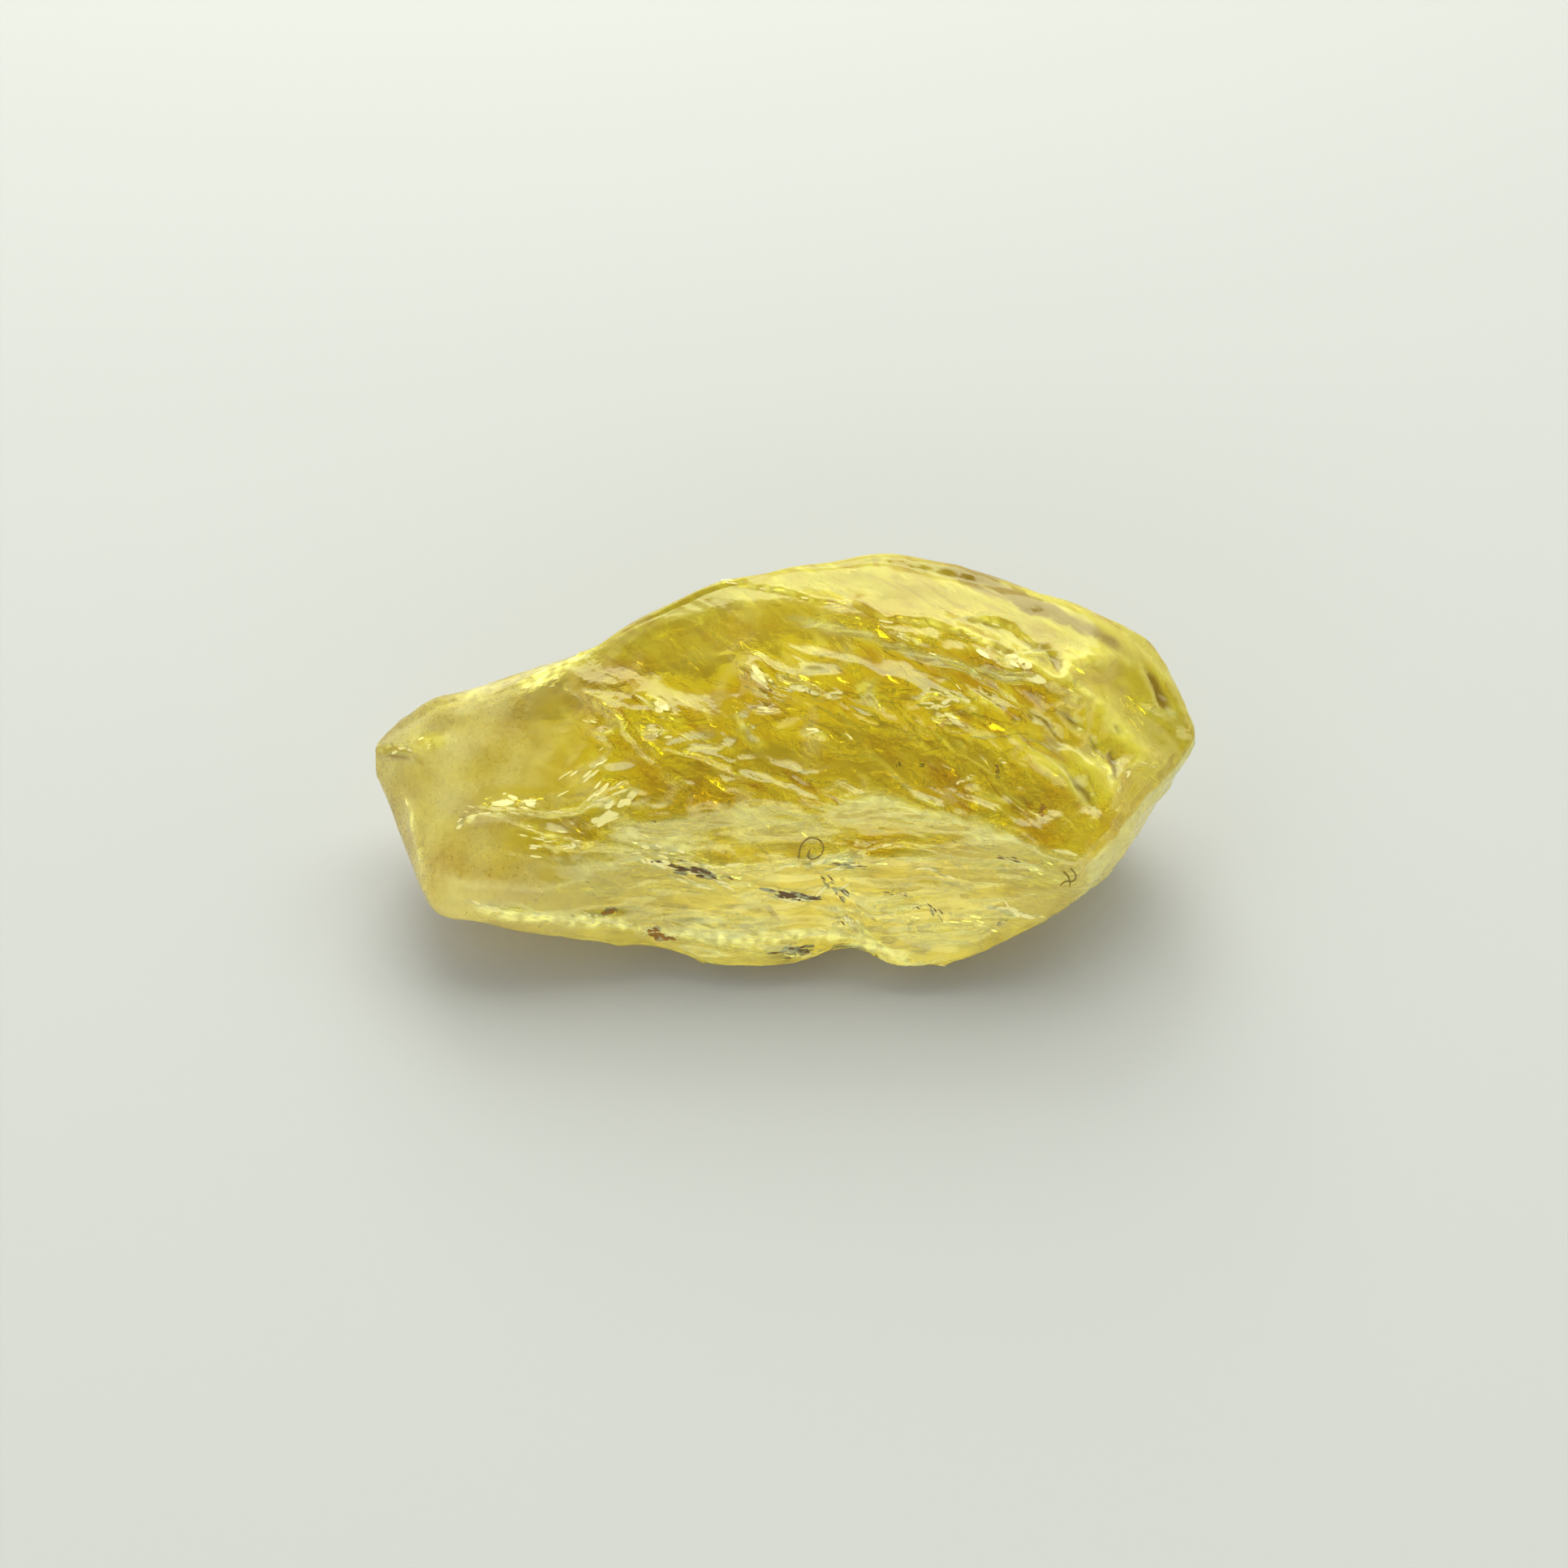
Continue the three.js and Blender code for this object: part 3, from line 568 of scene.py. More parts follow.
def carve(mesh):
    """Lifts the skin by its fine relief, and notes its layers at every point."""
    points = read_vectors(mesh, "co") / MM
    normals = read_vectors(mesh, "normal")
    left = 1 - ramp(points[:, 0], -7.5, -4.5)
    right = ramp(points[:, 0], 6.5, 8.0)
    front = ramp(-normals[:, 1], 0.6, 0.85)
    back = ramp(normals[:, 1], -0.05, 0.3)
    under = ramp(-normals[:, 2], 0.1, 0.5)
    crest = ramp(points[:, 1], 0.4, 1.6)
    broken = (1 - left) * (1 - front) * (1 - back) * (1 - 0.8 * crest)
    # A strip of the right side, which mirrors the paper, gets the pale front tint as a painted sheen
    strip = right * ramp(normals[:, 0], 0.4, 0.6) * (1 - ramp(normals[:, 2], 0.38, 0.52))

    # Bowls, splinters and growth lines, each as high as its first number says in millimetres
    wander = 0.5 * np.stack([waves(points, 1.5, s) for s in (11.0, 23.0, 37.0)], axis=1)
    splinters = along(points + wander, SPLINTER_WAY)
    growth = along(points + 0.3 * wander, GROWTH_WAY)
    busy = ramp(waves(points, (2.0, 1.6, 1.6), 41.0), -0.35, 0.25) * (1 - right)
    depth = 0.20 * (bowls(points + wander, (2.2, 1.3, 1.3)) - 0.3) * broken
    depth += 0.12 * (ridges(splinters, (1.9, 0.6, 0.9), 3.7) - 0.4) * broken * busy
    depth += 0.06 * (ridges(points + wander, (1.0, 0.7, 0.7), 27.1) - 0.4) * broken
    depth += 0.03 * (ridges(splinters, (0.8, 0.25, 0.35), 8.1) - 0.4) * broken * busy
    depth += 0.045 * ridges(growth, (2.6, 0.40, 0.40), 5.3) * front * (1 - left)
    depth += 0.006 * ridges(growth, (1.2, 0.14, 0.14), 6.9) * front * (1 - left)
    depth += 0.045 * ridges(growth, (3.2, 0.5, 0.5), 15.3) * back * (1 - left) * (1 - crest)
    depth += 0.015 * waves(points, 0.5, 5.7) * left
    depth += 0.05 * (bowls(points, (1.5, 1.2, 1.2), 9.1) - 0.3) * (back * (1 - crest) + under)

    # The outline along the crest and at the left tip
    toward = normals @ np.array(TOWARD_CAMERA)
    edge_on = np.exp(-(toward / 0.4) ** 2) * ramp(normals[:, 1], 0.2, 0.5)
    depth += edge_on * np.interp(points[:, 0], *zip(*CREST_LIFT))
    tip = np.exp(-(toward / 0.4) ** 2) * ramp(-normals[:, 1], 0.0, 0.3)
    depth += 0.22 * tip * (1 - ramp(points[:, 0], -10.7, -9.7))

    # The breaks that the photograph shows. They wander by a few pixels and have chipped edges.
    facing = ramp(toward, 0.1, 0.35)
    jitter = np.stack([waves(points, 0.35, s) for s in (51.0, 63.0)], axis=1)
    pixels = pictured(points) + 3.5 * jitter
    chipped = 0.2 + 0.8 * ramp(waves(points, 0.22, 77.0), -0.25, 0.25)
    seen = ramp(toward, -0.1, 0.0)
    # Along them the skin gets painted highlights that are partly bruise, and painted shade in grooves
    stepped, bruise_and_highlight, stain_and_shade = np.zeros((3, len(points)))
    for kind, height, run, path in STROKES:
        relief, edge = stroke(pixels, kind, height, run, path)
        stepped += relief * facing
        bruise_and_highlight += np.maximum(edge, 0) * facing * (0.7 if kind == "rib" else chipped)
        stain_and_shade += np.maximum(-edge, 0) * seen
    for path in CRACKS:
        away, _, strength = beside(pixels, path)
        bruise_and_highlight += 0.3 * strength * np.exp(-(away / BRUISE_AND_HIGHLIGHT_WIDTH) ** 2) * facing * chipped
    for share, run, path in STAIN_AND_SHADE_LINES:
        away, _, strength = beside(pixels, path)
        stain_and_shade += share * strength * np.exp(-(away / (0.8 * run)) ** 2) * seen
    depth += TALLEST_STEP * np.tanh(stepped / TALLEST_STEP)
    lifted = np.clip(points + normals * depth[:, None], np.array(LOW) / MM, np.array(HIGH) / MM)
    mesh.vertices.foreach_set("co", (lifted * MM).ravel())

    # The layers of the skin
    patches = waves(points, 0.9, 17.0)
    frost = 0.05 + 0.30 * left + 0.9 * under - 0.04 * right + 0.10 * front + 0.15 * patches * under
    frost += 0.15 * strip
    fresh = np.zeros(len(points))
    for middle, spread in FRESH_BREAKS:
        away = (pictured(points) - middle) / spread
        fresh = np.maximum(fresh, np.exp(-(away ** 2).sum(axis=1) ** 2) * facing)
    weathered = left * (0.75 + 0.25 * patches) * (1 - fresh)
    frost -= 0.3 * left * fresh
    splintered = broken * (0.35 + 0.65 * busy) + 0.35 * back + (0.5 * front + 0.3 * crest) * (1 - left)
    milky = 0.11 + 0.20 * weathered + 0.06 * front + 0.06 * right + 0.10 * crest + 0.20 * strip
    layers = (frost, weathered, splintered, np.maximum(front, strip), milky, 0.75 * bruise_and_highlight, stain_and_shade)
    for name, values in zip(SKIN_LAYERS, layers):
        layer = mesh.attributes.new(name, "FLOAT", "POINT")
        layer.data.foreach_set("value", np.clip(values, 0, 1))
    mesh.update()
    mesh.shade_smooth()


def photo_way(across, up):
    """The way that runs so far across and so far up in the photograph."""
    return Vector((across, up * math.sin(ELEVATION), up * math.cos(ELEVATION)))


class Skin:
    """The crystal's surface, to place things under or on."""

    def __init__(self, mesh):
        mesh.calc_loop_triangles()
        corners = [v.co for v in mesh.vertices]
        self.tree = BVHTree.FromPolygons(corners, [tuple(t.vertices) for t in mesh.loop_triangles])
        self.points = read_vectors(mesh, "co") / MM
        self.normals = read_vectors(mesh, "normal")

    def holds(self, place, room):
        """Whether a place is in the crystal, and further than room from its skin, both in millimetres."""
        nearest, normal, _, distance = self.tree.find_nearest(Vector(place) * MM)
        return distance > room * MM and (Vector(place) * MM - nearest).dot(normal) < 0

    def seen_at(self, x, y):
        """The point and normal that the photograph shows at a pixel. The point is in millimetres."""
        eye = TARGET + DISTANCE * TOWARD_CAMERA
        across = x - PHOTO_SIDE / 2
        down = y - PHOTO_SIDE / 2
        aim = TARGET + MM / PIXELS_PER_MM * (photo_way(1, 0) * across - photo_way(0, 1) * down)
        point, normal, _, _ = self.tree.ray_cast(eye, aim - eye)
        return (None, None) if point is None else (point / MM, normal)


def kept(skin, flakes):
    """The flakes that lie inside the crystal with their middle and with both ends."""
    def inside(place, way, face, size):
        reach = Vector(way).normalized() * size
        return all(skin.holds(Vector(place) + share * reach, 0.02) for share in (-1, -0.5, 0, 0.5, 1))

    return [flake for flake in flakes if inside(*flake)]


def flake_tree():
    """Geometry Nodes that put a jagged flake on every point of a cloud. It lies along the point's 'way',
    faces its 'face', and is as long as its 'size' to each side. Noise makes its rim ragged, and it is
    angular if its fineness is 1."""
    tree = bpy.data.node_groups.new("flakes_on_points", "GeometryNodeTree")
    for name, kind in (("Points", "Geometry"), ("Width", "Float"), ("Thickness", "Float"),
                       ("Raggedness", "Float"), ("Material", "Material"), ("Fineness", "Int")):
        tree.interface.new_socket(name, in_out="INPUT", socket_type="NodeSocket" + kind)
    tree.interface.new_socket("Flakes", in_out="OUTPUT", socket_type="NodeSocketGeometry")
    given = add(tree, "NodeGroupInput").outputs
    way, face, size = (
        add(tree, "GeometryNodeInputNamedAttribute", {"Name": name}, data_type=kind)
        for name, kind in (("way", "FLOAT_VECTOR"), ("face", "FLOAT_VECTOR"), ("size", "FLOAT")))
    lying = add(tree, "FunctionNodeAlignRotationToVector", {"Vector": way}, axis="X")
    turned = add(tree, "FunctionNodeAlignRotationToVector", {"Rotation": lying, "Vector": face}, axis="Z",
                 pivot_axis="X")
    shape = add(tree, "ShaderNodeCombineXYZ", {"X": 1.0, "Y": given["Width"], "Z": given["Thickness"]})
    lens = add(tree, "GeometryNodeMeshIcoSphere", {"Radius": 1.0, "Subdivisions": given["Fineness"]})
    copies = add(tree, "GeometryNodeInstanceOnPoints", {
        "Points": given["Points"],
        "Instance": lens,
        "Rotation": turned,
        "Scale": add(tree, VECTOR_MATH, {0: shape, "Scale": size}, operation="SCALE"),
    })
    real = add(tree, "GeometryNodeRealizeInstances", {"Geometry": copies})
    # Dents of 0.4 mm, so that a flake has one or two
    place = add(tree, "GeometryNodeInputPosition")
    warp = add(tree, NOISE, {"Vector": place, "Scale": 2.5 / MM, "Detail": 3.0}).outputs["Color"]
    centred = add(tree, VECTOR_MATH, {0: warp, 1: (0.5, 0.5, 0.5)}, operation="SUBTRACT")
    push = add(tree, VECTOR_MATH, {0: centred, "Scale": given["Raggedness"]}, operation="SCALE")
    ragged = add(tree, "GeometryNodeSetPosition", {"Geometry": real, "Offset": push})
    done = add(tree, "GeometryNodeSetMaterial", {"Geometry": ragged, "Material": given["Material"]})
    add(tree, "NodeGroupOutput", {"Flakes": done})
    return tree


def scatter(name, flakes, width, thickness, raggedness, fineness, material):
    """One mesh of flakes, each given as its place, way, face and size. Places, sizes and how far the noise
    pushes the rims are in millimetres. The width and the thickness are shares of the length."""
    places, ways, faces, sizes = zip(*flakes)
    cloud = bpy.data.meshes.new(name + "_points")
    cloud.from_pydata([Vector(p) * MM for p in places], [], [])
    for note, vectors in (("way", ways), ("face", faces)):
        layer = cloud.attributes.new(note, "FLOAT_VECTOR", "POINT")
        layer.data.foreach_set("vector", np.array(vectors).ravel())
    cloud.attributes.new("size", "FLOAT", "POINT").data.foreach_set("value", np.array(sizes) * MM)
    source = show(name + "_points", cloud)
    modifier = source.modifiers.new("flakes", "NODES")
    modifier.node_group = FLAKES
    values = {
        "Width": width,
        "Thickness": thickness,
        "Raggedness": raggedness * MM,
        "Fineness": fineness,
        "Material": material,
    }
    for item in FLAKES.interface.items_tree:
        if item.in_out == "INPUT" and item.name in values:
            modifier[item.identifier] = values[item.name]
    return show(name, made_by(source))


def splinter_chance(points, normals):
    """Most breaks lie under the top, between its frosted end and its right end, and before the crest."""
    middle = ramp(points[:, 0], -6.5, -3.5) * (1 - ramp(points[:, 0], 7.0, 9.0))
    up = ramp(normals[:, 2], 0.3, 0.6) * (1 - 0.9 * ramp(points[:, 1], 1.0, 2.0))
    busy = ramp(waves(points, (1.8, 1.4, 1.4), 41.0), -0.2, 0.4)
    return middle * up * (0.15 + busy) + 1e-6


def front_chance(points, normals):
    """Veils along the growth lines under the front face."""
    return ramp(-normals[:, 1], 0.5, 0.8) * ramp(points[:, 0], -6.0, -3.0) + 1e-6


def random_flakes(skin, count, depths, sizes, chance, way, stray, tilt, seed):
    """Flakes at random places under the skin, where chance says that they are likely. They run along the
    way, give or take stray, and face up, give or take tilt. Depths and sizes are in millimetres, from
    the least to the most."""
    chooser = np.random.default_rng(seed)
    likely = chance(skin.points, skin.normals)
    picks = chooser.choice(len(skin.points), count, p=likely / likely.sum())
    down = chooser.uniform(depths[0], depths[1], count)
    places = skin.points[picks] - skin.normals[picks] * down[:, None]
    ways = np.array(way) + chooser.normal(0, stray, places.shape)
    faces = np.array((0, 0, 1)) + chooser.normal(0, tilt, places.shape)
    lengths = sizes[0] + (sizes[1] - sizes[0]) * chooser.random(count) ** 2
    return list(zip(places, ways, faces, lengths))


# Clusters of flakes that the photograph shows: the pixel at the middle, how many pixels each reaches along
# and across, how many degrees it runs up to the right, how many flakes it has, and how long they are to
# each side, in millimetres
BRIGHT_CLUSTERS = [
    (632, 987, 22, 7, -2, 26, 0.16),
    (655, 985, 10, 5, 0, 10, 0.14),
    (752, 1008, 26, 9, 22, 30, 0.14),
    (772, 984, 9, 7, 30, 12, 0.16),
    (707, 1040, 15, 3, -3, 12, 0.14),
    (675, 1042, 8, 2, 0, 5, 0.12),
    (532, 914, 11, 7, 20, 14, 0.08),
    (631, 1122, 34, 4, -8, 22, 0.14),
    (736, 1130, 14, 3, -4, 9, 0.16),
    (790, 922, 18, 4, -40, 10, 0.16),
    (750, 877, 14, 3, -35, 8, 0.12),
    (812, 869, 14, 3, -40, 8, 0.14),
    (930, 838, 18, 9, -42, 26, 0.16),
    (972, 846, 14, 7, -25, 12, 0.13),
    (1003, 853, 20, 6, -20, 16, 0.15),
    (986, 872, 16, 5, -5, 10, 0.12),
    (948, 876, 14, 3, 0, 8, 0.12),
    (1002, 904, 10, 5, -15, 8, 0.12),
    (1040, 915, 6, 5, 0, 5, 0.10),
    (1097, 783, 16, 4, -30, 10, 0.13),
    (1048, 701, 18, 4, -15, 12, 0.12),
    (1165, 884, 16, 7, -20, 16, 0.13),
    (820, 1050, 34, 6, -10, 26, 0.18),
    (876, 1074, 26, 5, -12, 18, 0.18),
    (850, 1093, 26, 4, -4, 12, 0.16),
    (1060, 1060, 60, 4, 4, 26, 0.20),
    (1012, 1090, 7, 5, 45, 6, 0.12),
]
PLATE_CLUSTERS = [
    (622, 986, 16, 5, -2, 7, 0.34),
    (645, 990, 10, 3, 0, 3, 0.30),
    (742, 1005, 14, 7, 30, 6, 0.42),
    (770, 984, 8, 6, 40, 5, 0.38),
    (740, 975, 14, 3, 35, 4, 0.24),
    (570, 1012, 8, 5, 35, 4, 0.20),
    (490, 924, 18, 2, 4, 5, 0.20),
    (532, 914, 11, 6, 20, 8, 0.12),
    (707, 1040, 15, 2, -3, 5, 0.16),
    (664, 1043, 8, 4, -3, 4, 0.10),
    (934, 836, 16, 8, -42, 9, 0.32),
    (996, 851, 14, 6, -20, 9, 0.26),
    (1030, 856, 8, 3, 10, 4, 0.20),
    (939, 874, 12, 3, 4, 4, 0.22),
    (996, 899, 8, 3, -15, 4, 0.16),
    (1042, 913, 7, 8, -45, 5, 0.16),
    (815, 871, 16, 6, -42, 5, 0.30),
    (812, 905, 14, 3, 5, 4, 0.22),
    (1108, 781, 5, 4, -55, 3, 0.16),
    (1145, 868, 20, 3, 3, 6, 0.24),
    (1192, 861, 20, 3, 4, 6, 0.22),
    (1175, 888, 10, 9, -30, 9, 0.20),
    (1250, 816, 34, 12, -30, 9, 0.32),
    (1186, 960, 8, 3, 25, 4, 0.14),
    (1234, 940, 4, 4, 0, 3, 0.12),
    (1380, 945, 5, 10, 60, 5, 0.16),
    (600, 1117, 16, 2, -10, 6, 0.20),
    (655, 1127, 16, 2, -4, 5, 0.16),
    (736, 1129, 12, 3, -4, 6, 0.22),
    (820, 1048, 34, 6, -10, 10, 0.18),
    (800, 1062, 30, 5, -14, 8, 0.20),
    (1030, 1058, 40, 5, 6, 10, 0.20),
    (1045, 1135, 10, 16, -60, 8, 0.10),
    (1240, 1122, 26, 3, -12, 6, 0.22),
]
DEEP_CLUSTERS = [
    (1405, 876, 14, 7, -50, 26, 0.16),
]
RIM_CLUSTERS = [
    (1000, 1152, 45, 3, 4, 40, 0.14),
    (1082, 1163, 22, 3, -40, 22, 0.14),
    (1120, 1186, 24, 3, -15, 16, 0.14),
    (985, 1180, 26, 3, 2, 16, 0.12),
    (632, 1122, 34, 3, -8, 16, 0.12),
    (736, 1130, 14, 3, -4, 8, 0.14),
    (1040, 1062, 60, 3, 4, 16, 0.18),
    (820, 1047, 40, 5, -10, 20, 0.16),
    (880, 1078, 26, 5, -12, 14, 0.16),
    (1290, 1075, 24, 14, -30, 12, 0.12),
    (1180, 1130, 60, 16, -14, 16, 0.12),
]
DARK_CLUSTERS = [
    (846, 1070, 34, 6, -16, 24, 0.24),
    (984, 1106, 26, 4, -7, 32, 0.22),
    (1018, 1090, 8, 6, -45, 9, 0.10),
    (1036, 1097, 9, 6, -40, 14, 0.12),
    (1050, 1067, 18, 3, -2, 14, 0.14),
    (1105, 1100, 12, 4, -10, 10, 0.08),
    (980, 1171, 24, 6, 6, 34, 0.16),
    (805, 1013, 3, 2, 0, 5, 0.06),
    (1130, 1116, 6, 5, -30, 7, 0.07),
    (1152, 1125, 8, 6, -50, 12, 0.09),
    (1232, 1138, 6, 4, 20, 8, 0.06),
    (1122, 1140, 12, 5, -20, 8, 0.06),
    (705, 1128, 4, 3, -45, 3, 0.08),
    (735, 1100, 14, 8, -30, 6, 0.05),
    (1048, 1132, 3, 12, -50, 7, 0.08),
    (1250, 1060, 18, 4, -15, 12, 0.10),
    (1136, 942, 3, 3, 0, 6, 0.09),
    (1108, 943, 2, 3, 90, 4, 0.09),
    (992, 948, 5, 3, 20, 6, 0.10),
]
RUSTY_CLUSTERS = [
    (812, 1153, 12, 5, -18, 26, 0.16),
    (752, 1123, 10, 3, 10, 12, 0.12),
    (662, 1130, 4, 2, 0, 5, 0.08),
    (1229, 951, 1, 8, 0, 12, 0.07),
    (1284, 997, 2, 9, 0, 14, 0.07),
]


def boxed(flakes):
    """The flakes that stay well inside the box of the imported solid."""
    low, high = np.array(LOW) / MM + 0.05, np.array(HIGH) / MM - 0.05

    def inside(place, way, face, size):
        reach = np.abs(np.array(Vector(way).normalized())) * size
        return (np.array(place) - reach > low).all() and (np.array(place) + reach < high).all()

    return [flake for flake in flakes if inside(*flake)]


def laid(way, normal):
    """The way along the skin that looks the same in the photograph as the way does."""
    return way - TOWARD_CAMERA * (way.dot(normal) / max(normal.dot(TOWARD_CAMERA), 0.3))


def bedded(point, normal, depth, way, stray, face, lean, length):
    """A flake at a depth under the skin. With no face given, it lies flat to the skin."""
    run = way if face else laid(way, normal)
    return point - normal * depth, run + stray, np.array(face or normal) + lean, length


def cluster_flakes(skin, clusters, depths, face, tilt, seed):
    """Flakes under the skin where the photograph shows clusters of them."""
    chooser = np.random.default_rng(seed)
    flakes = []
    for x, y, long, wide, angle, count, size in clusters:
        turn = math.radians(angle)
        way = photo_way(math.cos(turn), math.sin(turn))
        for _ in range(count):
            run, rise = chooser.normal(0, 0.6, 2) * (long, wide)
            point, normal = skin.seen_at(x + run * math.cos(turn) + rise * math.sin(turn),
                                         y - run * math.sin(turn) + rise * math.cos(turn))
            depth = chooser.uniform(*depths)
            lean = chooser.normal(0, tilt, 3)
            length = size * chooser.uniform(0.4, 1.3)
            stray = Vector(chooser.normal(0, 0.12, 3))
            if point is not None:
                flakes.append(bedded(point, normal, depth, way, stray, face, lean, length))
    return flakes


def stroke_slivers(skin, paths, depths, lengths, face, share, seed):
    """Slivers along breaks, every 5 pixels of the photograph with gaps between, as where a step lifts off."""
    chooser = np.random.default_rng(seed)
    slivers = []
    for path in paths:
        for start, end in zip(path, path[1:]):
            span = math.dist(start, end)
            across, down = (end[0] - start[0]) / span, (end[1] - start[1]) / span
            way = photo_way(across, -down)
            for step in np.arange(0, span, 5.0):
                x, y = start[0] + across * step, start[1] + down * step
                point, normal = skin.seen_at(*(np.array((x, y)) + chooser.normal(0, 1.5, 2)))
                chance, depth = chooser.random(), chooser.uniform(*depths)
                lean = chooser.normal(0, 0.25, 3)
                stray, length = Vector(chooser.normal(0, 0.12, 3)), chooser.uniform(*lengths)
                if chance < share and point is not None:
                    slivers.append(bedded(point, normal, depth, way, stray, face, lean, length))
    return slivers


# Where the old skin of the left end has flaked off lately: the middle and the reach each way, in the
# photograph's pixels
FRESH_BREAKS = [
    ((632, 985), (44, 16)),
    ((757, 1000), (50, 32)),
    ((690, 1030), (70, 20)),
    ((534, 914), (16, 12)),
    ((490, 925), (26, 7)),
    ((640, 1124), (60, 10)),
    ((736, 1130), (26, 8)),
    ((790, 880), (60, 60)),
]

# Textile fibres that lie on the crystal, as the photograph's pixels that they run through
FIBRES = [
    [(984, 1058), (985, 1046), (990, 1036), (1000, 1031), (1011, 1035), (1016, 1045), (1011, 1055),
     (1000, 1059), (993, 1054), (999, 1047)],
    [(1319, 1070), (1327, 1077), (1323, 1086), (1312, 1084), (1307, 1090)],
    [(1310, 1073), (1320, 1080), (1318, 1092)],
    [(736, 787), (744, 786), (750, 790)],
]


def fibres(skin, thickness):
    """Thin dark fibres, each a round tube just above the surface. The thickness is in millimetres."""
    data = bpy.data.curves.new("fibres", "CURVE")
    data.dimensions = "3D"
    data.bevel_depth = thickness / 2 * MM
    data.bevel_resolution = 1
    data.resolution_u = 6
    data.use_fill_caps = True
    for pixels in FIBRES:
        places = [skin.seen_at(*pixel) for pixel in pixels]
        places = [(point + normal * thickness) * MM for point, normal in places if point is not None]
        spline = data.splines.new("NURBS")
        spline.points.add(len(places) - 1)
        spline.use_endpoint_u = True
        spline.order_u = 3
        for point, place in zip(spline.points, places):
            point.co = (*place, 1)
    mesh = made_by(show("fibre_paths", data))
    mesh.materials.clear()
    mesh.materials.append(grime("cotton_lint", LINT, 0.9))
    return show("fibres", mesh)


def floor():
    """Plain matt paper. It lies a hair below the crystal's foot, as paper does between its own high spots."""
    mesh = bpy.data.meshes.new("floor")
    half = 1.5
    drop = -0.02 * MM
    corners = [(x * half, y * half, drop) for x, y in ((-1, -1), (1, -1), (1, 1), (-1, 1))]
    mesh.from_pydata(corners, [], [(0, 1, 2, 3)])
    mesh.materials.append(plain_material("paper", {"Base Color": linear(PAPER), "Roughness": 0.9}))
    show("floor", mesh)


def lamp():
    """A soft lamp behind the crystal, which lights the paper but doesn't show in the crystal."""
    data = bpy.data.lights.new("lamp", "AREA")
    data.shape = "ELLIPSE"
    data.size, data.size_y = LAMP_SIDES
    data.energy = LAMP_RADIANCE * math.pi * math.pi / 4 * LAMP_SIDES[0] * LAMP_SIDES[1]
    data.color = linear(DAYLIGHT)[:3]
    light = show("lamp", data)
    light.location = LAMP_PLACE
    light.rotation_euler = (Vector((0, 0, HIGH.z / 2)) - light.location).to_track_quat("-Z", "Y").to_euler()
    light.visible_camera = light.visible_glossy = light.visible_transmission = False


def soft_part(tree, way, middle, reach, light):
    """The light of an oval, soft-edged part of the room, for the way that is looked."""
    level = Vector((0, 0, 1)).cross(middle).normalized()
    across, above = (
        add(tree, VECTOR_MATH, {0: way, 1: axis / size}, operation="DOT_PRODUCT")
        for axis, size in zip((level, middle.cross(level)), reach))
    offset = add(tree, "ShaderNodeCombineXYZ", {"X": across, "Y": above})
    away = add(tree, VECTOR_MATH, {0: offset}, operation="LENGTH")
    ahead = add(tree, VECTOR_MATH, {0: way, 1: middle}, operation="DOT_PRODUCT")
    near_side = add(tree, MATH, {0: ahead, 1: 0.0}, operation="GREATER_THAN")
    glow = mapped(tree, away, 0.7, 1.1, light, 0.0, "SMOOTHSTEP")
    return add(tree, MATH, {0: glow, 1: near_side}, operation="MULTIPLY")


def studio():
    """Even light from all round, with bright parts, and a shade above and in front, where whoever looks at
    the crystal leans over it."""
    world = bpy.data.worlds.new("studio")
    world.use_nodes = True
    tree = world.node_tree
    sky = tree.nodes["Background"]
    way = add(tree, "ShaderNodeTexCoord").outputs["Generated"]
    leaning = add(tree, VECTOR_MATH, {0: way, 1: SHADE_WAY}, operation="DOT_PRODUCT")
    inner, outer = (math.cos(math.radians(angle)) for angle in SHADE_EDGE)
    open_share = mapped(tree, leaning, outer, inner, 1.0, SHADE_SHARE, "SMOOTHSTEP")
    height = add(tree, "ShaderNodeSeparateXYZ", {"Vector": way}).outputs["Z"]
    walls = mapped(tree, height, 0, 1, HORIZON_LIGHT, ZENITH_LIGHT)
    strength = add(tree, MATH, {0: walls, 1: open_share}, operation="MULTIPLY")
    for middle, reach, light in BRIGHT_PARTS:
        glow = soft_part(tree, way, Vector(middle).normalized(), reach, light)
        strength = add(tree, MATH, {0: strength, 1: glow}, operation="ADD")
    sky.inputs["Color"].default_value = linear(DAYLIGHT)
    tree.links.new(strength.outputs[0], sky.inputs["Strength"])
    bpy.context.scene.world = world
    bpy.context.scene.view_settings.view_transform = "Standard"
    cycles = bpy.context.scene.cycles
    cycles.max_bounces = cycles.transmission_bounces = cycles.glossy_bounces = 40
    cycles.denoising_input_passes = "RGB_ALBEDO_NORMAL"


def camera():
    """The photograph's view: 50 degrees above the paper, square on to the crystal's length."""
    data = bpy.data.cameras.new("camera")
    data.sensor_width = 36
    data.lens = data.sensor_width * DISTANCE / WIDE
    data.clip_start = MM
    view = show("camera", data)
    view.location = TARGET + DISTANCE * TOWARD_CAMERA
    view.rotation_euler = (math.pi / 2 - ELEVATION, 0, 0)
    bpy.context.scene.camera = view


camera()
studio()
lamp()
floor()

crystal = crystal_skin()
crystal.data.materials.clear()
crystal.data.materials.append(danburite())
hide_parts("crystal")
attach(crystal, BODY)

AIR = air_film()
VEIL = healed_break()
CRUSHED_EDGE = crushed_crystal()
MANGANESE_CRUST = grime("manganese_crust", MANGANESE, 0.6)
RUST_FILM = grime("rust_film", RUST, 0.7)
FLAKES = flake_tree()
skin = Skin(crystal.data)
steps = [path for kind, _, _, path in STROKES if kind in ("ledge", "ridge")]
rims = [path for kind, _, _, path in STROKES if kind == "rim"]

# The ways that flakes face: up, or out of the bevel along the foot
up = (0, 0, 1)
bevel = (0, -0.88, 0.47)

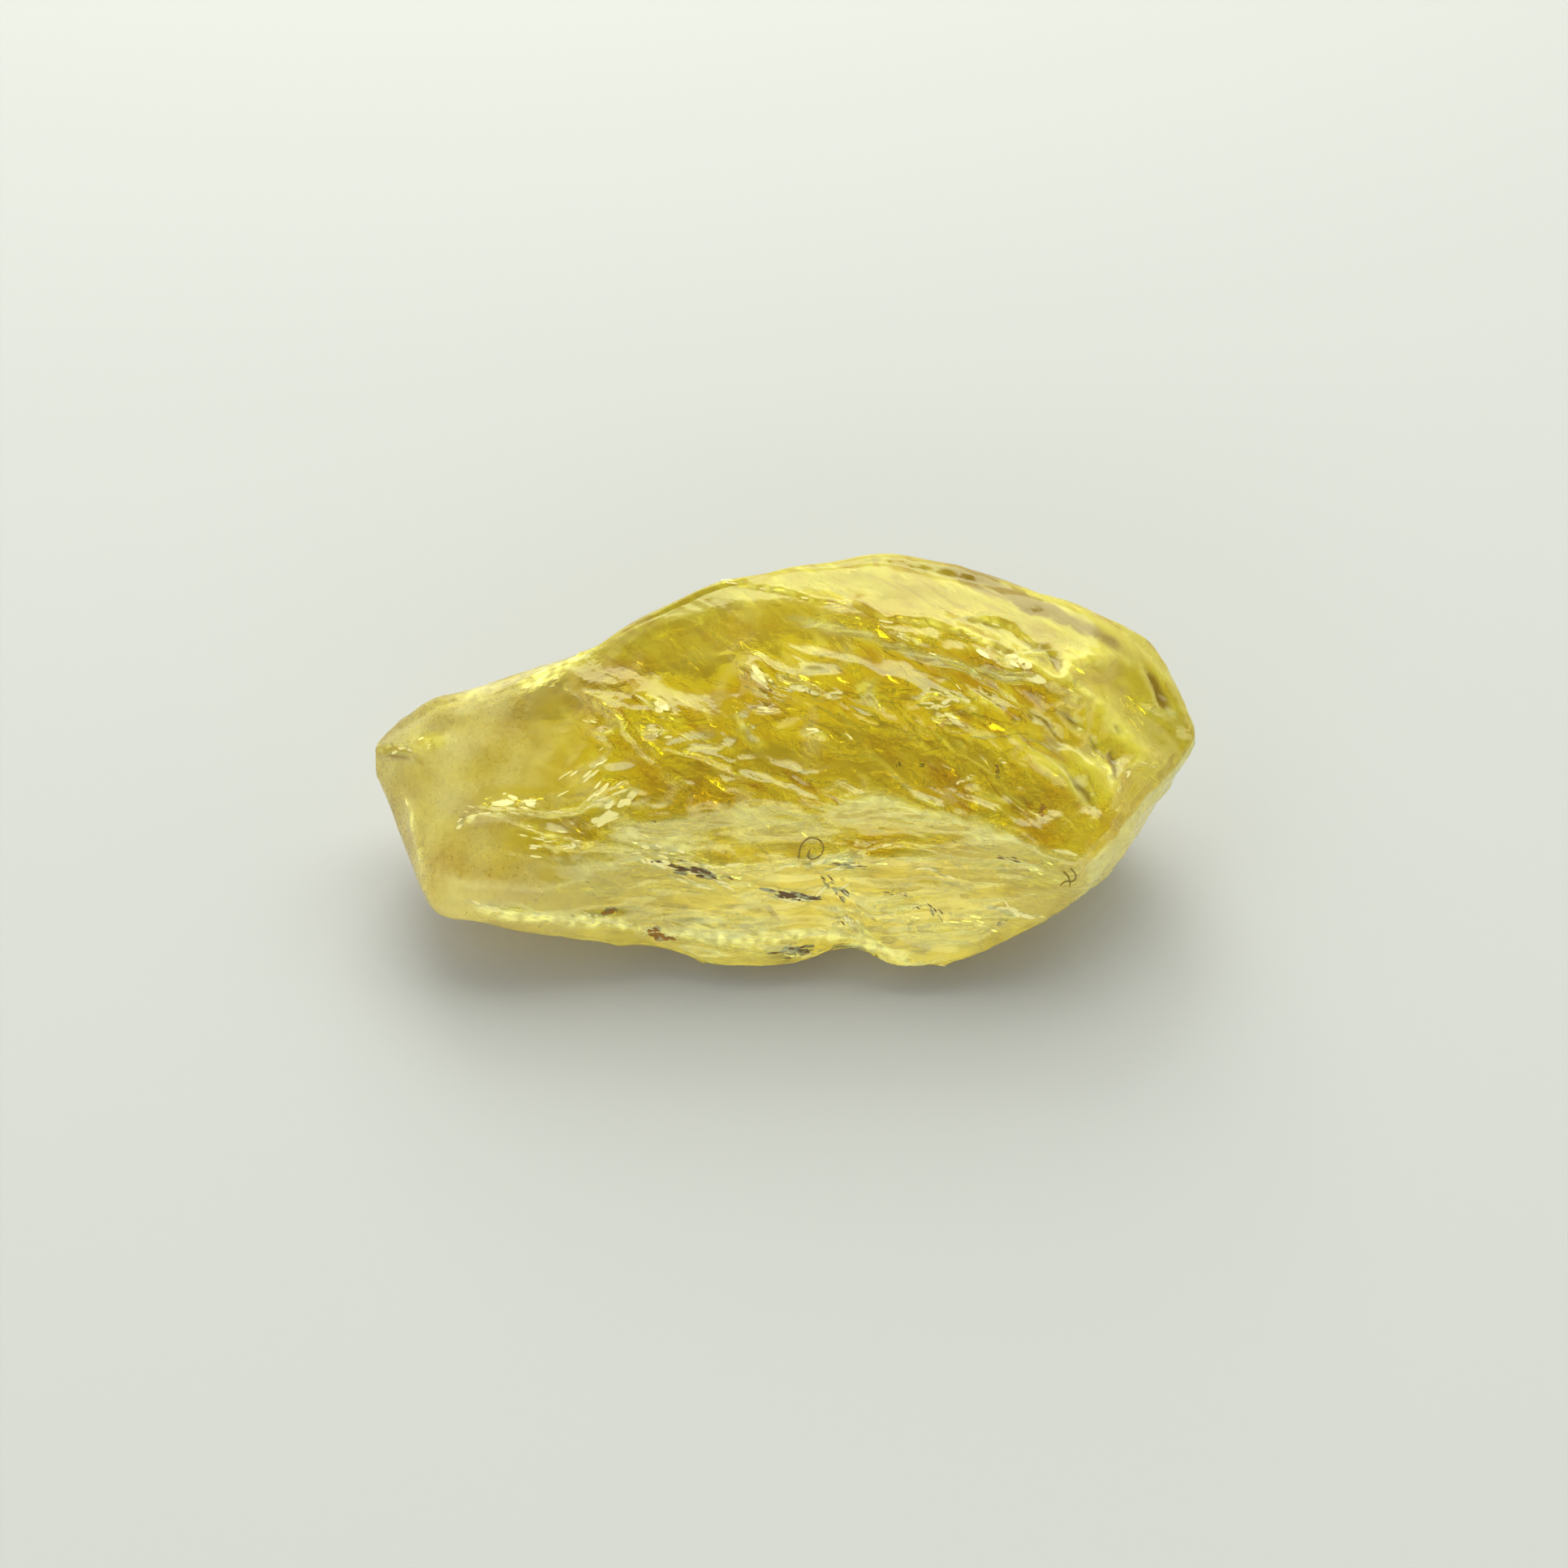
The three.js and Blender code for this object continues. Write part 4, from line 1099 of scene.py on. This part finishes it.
# Depths and lengths are in millimetres, from the least to the most
bright = random_flakes(skin, 120, (0.1, 0.9), (0.12, 0.5), splinter_chance, SPLINTER_WAY, 0.2, 0.25, seed=5)
bright += cluster_flakes(skin, BRIGHT_CLUSTERS, (0.04, 0.25), up, 0.2, seed=12)
bright += cluster_flakes(skin, DEEP_CLUSTERS, (0.3, 1.2), up, 0.3, seed=16)
bright += cluster_flakes(skin, RIM_CLUSTERS, (0.03, 0.2), bevel, 0.15, seed=17)
plates = cluster_flakes(skin, PLATE_CLUSTERS, (0.0, 0.02), None, 0.12, seed=19)
bright += stroke_slivers(skin, steps, (0.03, 0.15), (0.05, 0.18), up, 0.5, seed=18)
crushed = stroke_slivers(skin, steps, (-0.01, 0.01), (0.08, 0.25), None, 0.15, seed=20)
crushed += stroke_slivers(skin, CRACKS, (0.0, 0.01), (0.10, 0.35), None, 0.35, seed=22)
crushed += stroke_slivers(skin, rims, (0.0, 0.01), (0.08, 0.22), None, 0.6, seed=21)
veils = random_flakes(skin, 350, (0.1, 2.5), (0.2, 0.9), splinter_chance, SPLINTER_WAY, 0.3, 1.5, seed=8)
veils += random_flakes(skin, 700, (0.1, 1.5), (0.2, 0.9), front_chance, GROWTH_WAY, 0.1, 1.5, seed=9)
dark = cluster_flakes(skin, DARK_CLUSTERS, (0.0, 0.02), None, 0.1, seed=14)
rusty = cluster_flakes(skin, RUSTY_CLUSTERS, (0.0, 0.02), None, 0.2, seed=15)
for piece, slot in (
    (scatter("air_breaks", kept(skin, bright), 0.2, 0.02, 0.10, 2, AIR), "fracture"),
    (scatter("crushed_plates", boxed(plates), 0.36, 0.04, 0.09, 1, CRUSHED_EDGE), "fracture"),
    (scatter("crushed_edges", boxed(crushed), 0.14, 0.05, 0.06, 1, CRUSHED_EDGE), "fracture"),
    (scatter("healed_breaks", kept(skin, veils), 0.18, 0.03, 0.15, 2, VEIL), "fracture"),
    (scatter("dark_grains", boxed(dark), 0.22, 0.05, 0.06, 1, MANGANESE_CRUST), "dark_inclusion"),
    (scatter("rusty_breaks", boxed(rusty), 0.5, 0.06, 0.08, 1, RUST_FILM), "iron_stain"),
    (fibres(skin, thickness=0.035), "lint"),
):
    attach(piece, BODY)
